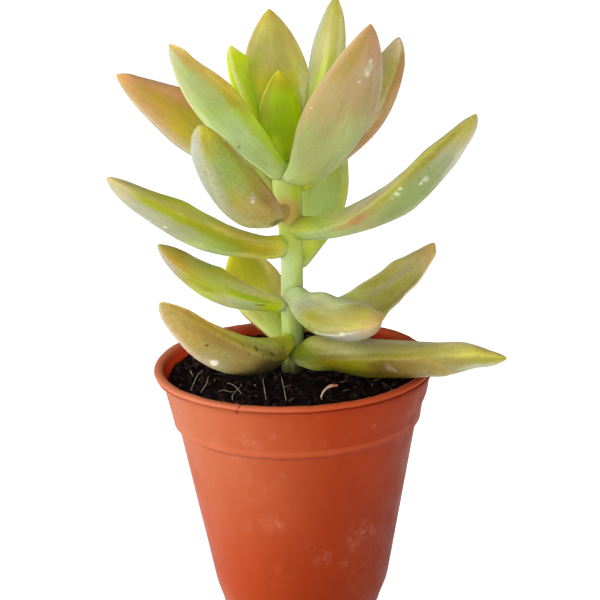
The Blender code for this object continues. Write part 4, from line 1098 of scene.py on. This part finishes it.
        lower=((0.0, "sprig"), (0.5, "sprig"), (0.8, "bright"), (1.0, "zest")),
        strokes=(("milk", (0.56, 1.02), (38, 46), 13, 0.75), ("zest", (0.34, 0.70), (34, 56), 15, 0.8), ("bright", (0.50, 0.80), (146, 146), 14, 0.6)),
        mottle=0.06, bloom=0.05, freckle=0.04, fibre=0.3,
        bumps=((1.1, 0.86, 155, 0.07, 40),),
        skin=dict(az=(157, 144), el=(67, 71.5), size=(25.4, 8.0, 3.4), roll=(26, 2), bend=0.8, plan=(0.34, 0.64, 0.62))),
    "leaf_18_young_centre": dict(
        upper=((0.0, "sprig"), (0.15, "sprig"), (0.30, "sprig"), (0.55, "sprig"), (0.72, "sprig"), (0.86, "yellow"), (1.0, "sun")),
        lower=((0.0, "leaf"), (0.6, "lime"), (1.0, "yellow")),
        strokes=(("lime", (0.18, 0.66), (66, 72), 26, 0.80), ("acid", (0.36, 0.80), (160, 158), 14, 0.8), ("bright", (0.38, 0.74), (130, 128), 12, 0.5),
                 ("citron", (0.46, 0.98), (24, 24), 22, 0.95), ("zest", (0.08, 0.36), (134, 136), 13, 0.7),
                 ("zest", (-0.02, 0.27), (58, 50), 24, 0.85), ("lemon", (0.30, 0.95), (2, 8), 4, 0.45)),
        mottle=0.06, bloom=0.02, freckle=0.02, fibre=0.3, grit=0.12),
}


def stem_colour(m):
    """The stem's colour at a place: dark at the foot, pale in the middle, lime
    at the top, and greener on the side that faces right. The paler left side is partly a painted highlight, and the
    darker low part of the right side partly painted shade."""
    sep = m.new("ShaderNodeSeparateXYZ")
    m.put(sep.inputs[0], m.coord())
    high = m.span(sep.outputs[2], 0.046, 0.090, soft=False)
    # the left side's paleness is partly a painted highlight, the right side's dark low stretch partly painted shade
    left = m.ramp(high, [(0.0, srgb(100, 110, 52)), (0.10, srgb(112, 126, 46)), (0.20, srgb(130, 148, 50)), (0.28, srgb(162, 180, 92)),
                         (0.38, srgb(190, 208, 146)), (0.56, srgb(190, 208, 150)), (0.66, srgb(170, 186, 70)), (0.76, srgb(170, 178, 72)),
                         (0.88, srgb(172, 184, 98)), (1.0, srgb(172, 188, 112))])
    right = m.ramp(high, [(0.0, srgb(70, 82, 26)), (0.10, srgb(80, 94, 26)), (0.18, srgb(96, 116, 12)), (0.28, srgb(114, 140, 8)),
                          (0.42, srgb(170, 190, 92)), (0.56, srgb(184, 202, 96)), (0.66, srgb(166, 182, 76)), (0.78, srgb(170, 176, 64)),
                          (0.88, srgb(174, 190, 36)), (1.0, srgb(170, 188, 36))])
    bend = m.math("MULTIPLY_ADD", m.math("SUBTRACT", m.noise(4.0, 3.0, 0.6), 0.5), 0.0016, sep.outputs[0])
    colour = m.mix(m.span(bend, -0.0010, 0.0014), left, right)
    long = m.noise(1.1, 4.0, 0.6, m.moved(m.coord(), (1, 1, 0.14)))
    colour = m.mix(m.math("MULTIPLY", m.span(long, 0.42, 0.72, (0.0, 0.34)), m.span(sep.outputs[2], 0.0745, 0.0700, (0.25, 1.0))),
                   colour, srgb(206, 220, 168))
    # a blush beside the stout leaf's joint, and the foot darkens to a deep olive next to the soil
    blush = m.math("MULTIPLY", m.near((-0.7, -2.0, 81.2), 2.5, 0.7), m.span(sep.outputs[2], 0.0845, 0.0825))
    colour = m.mix(m.math("MULTIPLY", blush, 0.66), colour, srgb(194, 136, 86))
    colour = m.mix(m.span(m.math("MULTIPLY_ADD", m.math("SUBTRACT", long, 0.5), 0.002, sep.outputs[2]), 0.0512, 0.0490, (0.0, 0.85)),
                   colour, srgb(38, 40, 16))
    return m.mix(m.span(m.noise(0.7, 3.0, 0.6), 0.52, 0.8, (0.0, 0.25)), colour, srgb(128, 150, 50)), long


def leaf_material(name, look, spot):
    """Waxy leaf: colours run along each face, with streaks, margins, bloom,
    freckles and small scars laid over them."""
    m = Nodes(name)
    uv = m.new("ShaderNodeUVMap", uv_map="leaf_uv")
    sep = m.new("ShaderNodeSeparateXYZ")
    m.put(sep.inputs[0], uv.outputs[0])
    wander = m.noise(look.get("wander_size", 5.0), 3.0, 0.55)
    wander2 = m.noise(3.6, 3.0, 0.55, m.moved(m.coord(), by=(0.31, 0.11, 0.07)))
    s = m.math("MULTIPLY_ADD", m.math("SUBTRACT", wander, 0.5), 0.12, sep.outputs[0])
    q0 = m.math("MULTIPLY_ADD", sep.outputs[1], 360.0, -180.0)
    q = m.math("MULTIPLY_ADD", m.math("SUBTRACT", wander2, 0.5), look.get("wander", 22.0), q0)
    sine = m.math("SINE", m.math("RADIANS", q))
    # fibres along the leaf: noise stretched along it, taken round the blade as a loop
    turn_at = m.math("RADIANS", q0)
    loop = m.new("ShaderNodeCombineXYZ")
    m.put(loop.inputs[0], m.math("MULTIPLY", sep.outputs[0], 5.0))
    m.put(loop.inputs[1], m.math("MULTIPLY", m.math("COSINE", turn_at), 4.6))
    m.put(loop.inputs[2], m.math("MULTIPLY", m.math("SINE", turn_at), 3.2))
    fibre = m.noise(1000.0, 5.0, 0.62, m.moved(loop.outputs[0], by=look.get("seed", (0, 0, 0))))
    upper = m.ramp(s, [(p, TINTS[c]) for p, c in look["upper"]], ease=False)
    lower = m.ramp(s, [(p, TINTS[c]) for p, c in look["lower"]], ease=False)
    colour = m.mix(m.span(sine, -0.28, 0.28), lower, upper)
    for tint, (s0, s1), (qa, qb), width, amount, *more in look.get("strokes", ()):
        fade = more[0] if more else 0.09
        rag = more[1] if len(more) > 1 else 0.13
        centre = m.span(s, s0, s1, (qa, qb), soft=False)
        off = m.math("ABSOLUTE", m.math("WRAP", m.math("SUBTRACT", q, centre), -180.0, 180.0))
        t = m.span(off, width * 1.7, width * 0.35)
        t = m.math("MULTIPLY", t, m.span(s, s0 - fade, s0 + fade))
        t = m.math("MULTIPLY", t, m.span(s, s1 - fade, s1 + fade, (1.0, 0.0)))
        t = m.math("MULTIPLY", t, m.span(fibre, 0.34, 0.62, (amount * (1 - rag), amount)))
        colour = m.mix(t, colour, TINTS[tint])
    # fibres, mottling, freckles and bloom
    colour = m.mix(m.span(fibre, 0.52, 0.30, (0.0, look.get("fibre", 0.45))), colour, (0.74, 0.72, 0.55), "MULTIPLY")
    colour = m.mix(m.span(fibre, 0.52, 0.74, (0.0, look.get("fibre", 0.45))), colour, (1.22, 1.20, 1.15), "MULTIPLY")
    mott = m.noise(1.5, 5.0, 0.66)
    colour = m.mix(m.span(mott, 0.48, 0.70, (0.0, look.get("mottle", 0.14))), colour, TINTS[look.get("mottle_tint", "deep")])
    colour = m.mix(m.span(m.noise(0.62, 3.0, 0.7), 0.55, 0.78, (0.0, look.get("freckle", 0.035))), colour, TINTS["paper"])
    grit = m.noise(0.48, 4.0, 0.74, m.moved(m.coord(), by=(0.02, 0.07, 0.11)))
    colour = m.mix(m.span(grit, 0.53, 0.66, (0.0, look.get("grit", 0.24))), colour, (0.50, 0.45, 0.28), "MULTIPLY")
    colour = m.mix(m.span(grit, 0.46, 0.33, (0.0, look.get("grit", 0.24))), colour, (1.30, 1.28, 1.22), "MULTIPLY")
    bloom = m.noise(6.0, 4.0, 0.6, m.moved(m.coord(), by=(0.05, 0.17, 0.23)))
    colour = m.mix(m.span(bloom, 0.40, 0.68, (0.0, look.get("bloom", 0.03))), colour, TINTS["paper"])
    rag = m.noise(0.7, 3.0, 0.65) if look.get("spots") else None
    for share, angle, radius, tint, amount in look.get("spots", ()):
        point = spot(share, angle)
        near = m.new("ShaderNodeVectorMath", operation="DISTANCE")
        m.put(near.inputs[0], m.coord())
        near.inputs[1].default_value = [c * MM for c in point]
        dist = m.math("MULTIPLY_ADD", m.math("SUBTRACT", rag, 0.5), radius * MM * 2.2, near.outputs["Value"])
        colour = m.mix(m.span(dist, radius * MM * 1.45, radius * MM * 0.10, (0.0, amount)), colour, TINTS[tint])
    joint = m.math("MULTIPLY_ADD", m.math("SUBTRACT", wander2, 0.5), 0.012, sep.outputs[0])
    colour = m.mix(m.span(joint, *look.get("joint", (0.012, -0.012))), colour, stem_colour(m)[0])
    pores = m.bump(m.cell(0.42), 0.12, 0.04)
    skin = m.bump(m.noise(0.9, 4.0, 0.6), 0.25, 0.11, pores)
    skin = m.bump(fibre, 0.35, 0.22, skin)
    m.set(Base_Color=colour, Roughness=m.span(m.noise(2.6, 3.0, 0.6), 0.3, 0.75, (0.40, 0.56)), Normal=skin,
          IOR=1.42, Subsurface_Weight=0.45, Subsurface_Scale=0.0028, Specular_Tint=(1.0, 0.98, 0.55))
    m.bsdf.inputs["Subsurface Radius"].default_value = (1.0, 0.85, 0.25)
    return m.mat


# ================================================================ other materials
# rubbed patches on the pot: place, radius, strength
RUBS = (
    ((-15.4, -19.1, 40.5), 1.0, 0.55),
    ((-12.4, -19.6, 38.2), 1.1, 0.5),
    ((-9.8, -22.8, 42.3), 1.2, 0.5),
    ((-7.6, -23.5, 41.3), 0.8, 0.5),
    ((-16.4, -12.9, 24.7), 1.0, 0.4),
    ((-10.3, -17.7, 23.2), 1.1, 0.45),
    ((-5.9, -19.9, 24.1), 1.3, 0.6),
    ((-4.0, -20.2, 23.6), 0.9, 0.55),
    ((-4.7, -24.6, 43.4), 0.5, 0.5),
    ((-3.1, -22.4, 34.9), 0.5, 0.45),
    ((10.8, -16.8, 20.0), 1.6, 0.6),
    ((12.6, -15.7, 21.2), 1.2, 0.5),
    ((9.8, -16.8, 17.5), 1.1, 0.45),
    ((13.8, -14.3, 19.7), 0.9, 0.4),
    ((3.9, -18.8, 16.1), 1.3, 0.5),
    ((8.3, -16.9, 14.1), 0.8, 0.5),
    ((1.5, -19.7, 18.8), 0.8, 0.4),
    ((14.2, -20.6, 43.5), 0.35, 0.8),
)


def pot_material():
    """Terracotta-coloured plastic, paler where it faces left as painted light and
    darker low on the right as painted shade, with soft rubbed patches and faint scratches."""
    m = Nodes("pot_plastic")
    pos = m.coord()
    sep = m.new("ShaderNodeSeparateXYZ")
    m.put(sep.inputs[0], pos)
    x, z = sep.outputs[0], sep.outputs[2]
    drift = m.math("MULTIPLY_ADD", m.math("SUBTRACT", m.noise(22.0, 3.0, 0.5), 0.5), 0.012, x)
    # painted light and shade: the colour runs from paler on the left, where the light falls, to darker on the right
    side = m.span(drift, -0.022, 0.022, soft=False)
    colour = m.ramp(side, [(0.0, srgb(170, 72, 38)), (0.30, srgb(160, 60, 27)), (0.65, srgb(148, 50, 19)), (1.0, srgb(136, 46, 20))], ease=False)
    colour = m.mix(m.span(m.noise(14.0, 4.0, 0.6), 0.35, 0.7, (0.0, 0.4)), colour, srgb(160, 58, 24))
    streak = m.noise(2.2, 3.0, 0.6, m.moved(pos, (1, 1, 0.10)))
    colour = m.mix(m.span(streak, 0.45, 0.8, (0.0, 0.18)), colour, srgb(126, 40, 16))
    # painted shade: the lower part, most of all towards the right, is darkened to a deeper colour
    deep = m.math("MULTIPLY", m.span(z, 0.044, 0.004, soft=False), m.span(drift, -0.016, 0.005, (0.35, 1.0)))
    colour = m.mix(deep, colour, (0.66, 0.56, 0.40), "MULTIPLY")
    # painted light: the far left is paler still; the very foot turns darker and warmer
    painted_light_left = m.math("MULTIPLY", m.span(drift, 0.006, -0.021, (0.0, 0.56), soft=False), m.span(z, 0.010, 0.042))
    colour = m.mix(painted_light_left, colour, srgb(172, 108, 76))
    colour = m.mix(m.span(z, 0.022, 0.004), colour, (1.0, 0.95, 0.74), "MULTIPLY")
    # light glows red through the lip where it stands clear of the soil
    facing = m.new("ShaderNodeVectorMath", operation="DOT_PRODUCT")
    m.put(facing.inputs[0], m.new("ShaderNodeNewGeometry").outputs["Normal"])
    m.put(facing.inputs[1], m.moved(pos, (1, 1, 0)))
    inside = m.math("MULTIPLY", m.span(facing.outputs["Value"], -0.006, -0.014), m.span(z, 0.038, 0.040))
    colour = m.mix(m.math("MULTIPLY", inside, m.span(x, 0.0, -0.018, (0.25, 1.0))), colour, srgb(236, 72, 34))
    speck = m.near((-11.3, -24.6, 48.3), 0.34, 0.5)
    colour = m.mix(m.math("MULTIPLY", speck, 0.85), colour, srgb(96, 12, 8))
    # painted highlight: the rim is paler, most of all on the left; painted shadow: dark lines in the groove under the
    # lip and under the step
    lip = m.mix(m.span(drift, -0.022, 0.010), srgb(196, 114, 84), srgb(182, 80, 44))
    colour = m.mix(m.span(z, 0.0490, 0.0494, (0.0, 0.70)), colour, lip)
    for place, half, amount in ((0.03845, 0.0004, 0.28), (0.04845, 0.00018, 0.25)):
        off = m.math("ABSOLUTE", m.math("SUBTRACT", z, place))
        colour = m.mix(m.span(off, half * 1.6, half * 0.4, (0.0, amount)), colour, srgb(84, 30, 18))
    # painted highlight: a paler line just above the step
    off = m.math("ABSOLUTE", m.math("SUBTRACT", z, 0.0396))
    colour = m.mix(m.span(off, 0.0008, 0.0002, (0.0, 0.22)), colour, srgb(196, 100, 64))
    # soft rubbed patches, then finer scratches inside them
    where = m.noise(8.0, 2.0, 0.5, m.moved(pos, by=(0.4, 0.2, 0.1)))
    haze = m.noise(2.6, 5.0, 0.7, warp=0.4)
    t = m.math("MULTIPLY", m.span(haze, 0.46, 0.74), m.span(where, 0.48, 0.68))
    colour = m.mix(m.math("MULTIPLY", t, 0.07), colour, srgb(216, 150, 124))
    for (px, py, pz), radius, amount in RUBS:
        patch = m.math("MULTIPLY", m.near((px, py, pz), radius * 1.25, 0.9), m.span(m.noise(1.5, 5.0, 0.66, warp=0.6), 0.38, 0.72))
        colour = m.mix(m.math("MULTIPLY", patch, amount * 0.30), colour, srgb(210, 150, 126))
    grain = m.bump(m.noise(0.55, 4.0, 0.65), 0.16, 0.06)
    waves = m.bump(m.noise(4.0, 3.0, 0.6, m.moved(pos, (1, 1, 0.4))), 0.25, 0.25, grain)
    m.set(Base_Color=colour, Roughness=m.span(m.noise(5.0, 4.0, 0.6), 0.3, 0.7, (0.48, 0.62)), Normal=waves, IOR=1.25,
          Specular_Tint=(1.0, 0.34, 0.12), Subsurface_Weight=0.10, Subsurface_Scale=0.0010)
    m.bsdf.inputs["Subsurface Radius"].default_value = (1.0, 0.12, 0.02)
    return m.mat


def soil_material(name, dark, light, rough=0.95):
    m = Nodes(name)
    colour = m.mix(m.span(m.noise(1.3, 5.0, 0.7), 0.38, 0.72), dark, light)
    speck = m.cell(0.8, out="Color")
    sep = m.new("ShaderNodeSeparateColor")
    m.put(sep.inputs[0], speck)
    colour = m.mix(m.span(sep.outputs[0], 0.90, 0.97, (0.0, 0.45)), colour, srgb(72, 50, 46))
    m.set(Base_Color=colour, Roughness=rough, Normal=m.bump(m.noise(0.5, 5.0, 0.7), 0.7, 0.25), IOR=1.3, Specular_IOR_Level=0.12)
    return m.mat


def fibre_material(name, a, b):
    m = Nodes(name)
    colour = m.mix(m.span(m.noise(1.8, 3.0, 0.6), 0.35, 0.65), a, b)
    m.set(Base_Color=colour, Roughness=0.62, Normal=m.bump(m.noise(0.25, 3.0, 0.6), 0.4, 0.05))
    return m.mat


def stem_material():
    m = Nodes("stem_skin")
    colour, long = stem_colour(m)
    m.set(Base_Color=colour, Roughness=0.42, Normal=m.bump(long, 0.25, 0.12), Subsurface_Weight=0.45, Subsurface_Scale=0.0028,
          IOR=1.42, Specular_Tint=(1.0, 0.98, 0.55))
    m.bsdf.inputs["Subsurface Radius"].default_value = (1.0, 0.85, 0.25)
    return m.mat


def bud_material():
    m = Nodes("growing_tip")
    colour = m.mix(m.span(m.noise(1.2, 3.0, 0.6), 0.35, 0.7), srgb(96, 132, 16), srgb(132, 160, 36))
    m.set(Base_Color=colour, Roughness=0.5, Subsurface_Weight=0.3, Subsurface_Scale=0.002, IOR=1.4)
    m.bsdf.inputs["Subsurface Radius"].default_value = (1.0, 0.85, 0.25)
    return m.mat


def stalk_material():
    m = Nodes("dry_stalk_skin")
    sep = m.new("ShaderNodeSeparateXYZ")
    m.put(sep.inputs[0], m.coord())
    colour = m.ramp(m.span(sep.outputs[0], 0.0049, 0.0082, soft=False),
                    [(0.0, srgb(226, 190, 172)), (0.4, srgb(228, 174, 146)), (0.75, srgb(214, 128, 84)), (1.0, srgb(226, 150, 110))])
    colour = m.mix(m.span(m.noise(0.5, 4.0, 0.6), 0.4, 0.7, (0.0, 0.5)), colour, srgb(226, 176, 140))
    m.set(Base_Color=colour, Roughness=0.65, Normal=m.bump(m.noise(0.3, 3.0, 0.6), 0.5, 0.08))
    return m.mat


def floor_material():
    m = Nodes("floor")
    m.set(Base_Color=m.mix(m.noise(60.0, 3.0, 0.5), (0.42, 0.42, 0.42), (0.45, 0.45, 0.45)), Roughness=0.9)
    m.bsdf.inputs["Emission Color"].default_value = (1, 1, 1, 1)
    m.bsdf.inputs["Emission Strength"].default_value = 0.97
    return m.mat


# ================================================================ light
def area(name, place, size, power, aim=(0, 0, 60), colour=(1, 1, 1)):
    data = bpy.data.lights.new(name, "AREA")
    data.shape = "RECTANGLE"
    data.size, data.size_y = size[0] * MM, size[1] * MM
    data.energy, data.color = power, colour
    ob = bpy.data.objects.new(name, data)
    bpy.context.scene.collection.objects.link(ob)
    ob.location = Vector(place) * MM
    ob.rotation_euler = (Vector(place) - Vector(aim)).to_track_quat("Z", "Y").to_euler()
    return ob


def make_studio():
    sc = bpy.context.scene
    sc.view_settings.view_transform = "Standard"
    sc.view_settings.look = "None"
    world = bpy.data.worlds.new("studio")
    sc.world = world
    world.use_nodes = True
    bg = world.node_tree.nodes["Background"]
    bg.inputs["Color"].default_value = (1.0, 1.0, 1.0, 1)
    bg.inputs["Strength"].default_value = 0.12
    area("key_left", (-700, -160, 300), (500, 450), 5.4)
    area("front_soft", (-40, -710, 330), (520, 420), 3.4)
    area("top_soft", (0, -100, 850), (700, 700), 2.4)
    bm = bmesh.new()
    bmesh.ops.create_grid(bm, x_segments=8, y_segments=8, size=3.0)
    me = bpy.data.meshes.new("floor")
    bm.to_mesh(me)
    bm.free()
    floor = bpy.data.objects.new("floor", me)
    sc.collection.objects.link(floor)
    floor.data.materials.append(floor_material())


# ================================================================ build
def dress(ob, mat, node=None):
    ob.data.materials.clear()
    ob.data.materials.append(mat)
    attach(ob, "root")
    if node:
        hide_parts(node)
    return ob


def main():
    make_camera()
    make_studio()
    dress(build_pot(), pot_material(), "pot")
    peat = soil_material("potting_soil", srgb(9, 5, 6), srgb(30, 20, 19))
    dress(build_soil(), peat, "soil")
    dress(build_crumbs(), soil_material("peat_crumbs", srgb(10, 6, 7), srgb(46, 30, 30)), None)
    dress(build_chips(), fibre_material("bark", srgb(40, 24, 22), srgb(84, 62, 52)), None)
    dress(build_fibres(), fibre_material("root_fibre", srgb(138, 120, 104), srgb(190, 176, 158)), None)
    green = stem_material()
    dress(build_stem(), green, "stem")
    dress(build_bud(), bud_material(), None)
    for k, (node, spec) in enumerate(LEAVES.items()):
        look = LOOKS[node]
        leaf, spot = build_leaf(node, spec, look, 200 + 13 * k)
        dress(leaf, leaf_material("skin_" + node, look, spot), node)
    dress(build_stalk(), stalk_material(), "dry_stalk")


main()
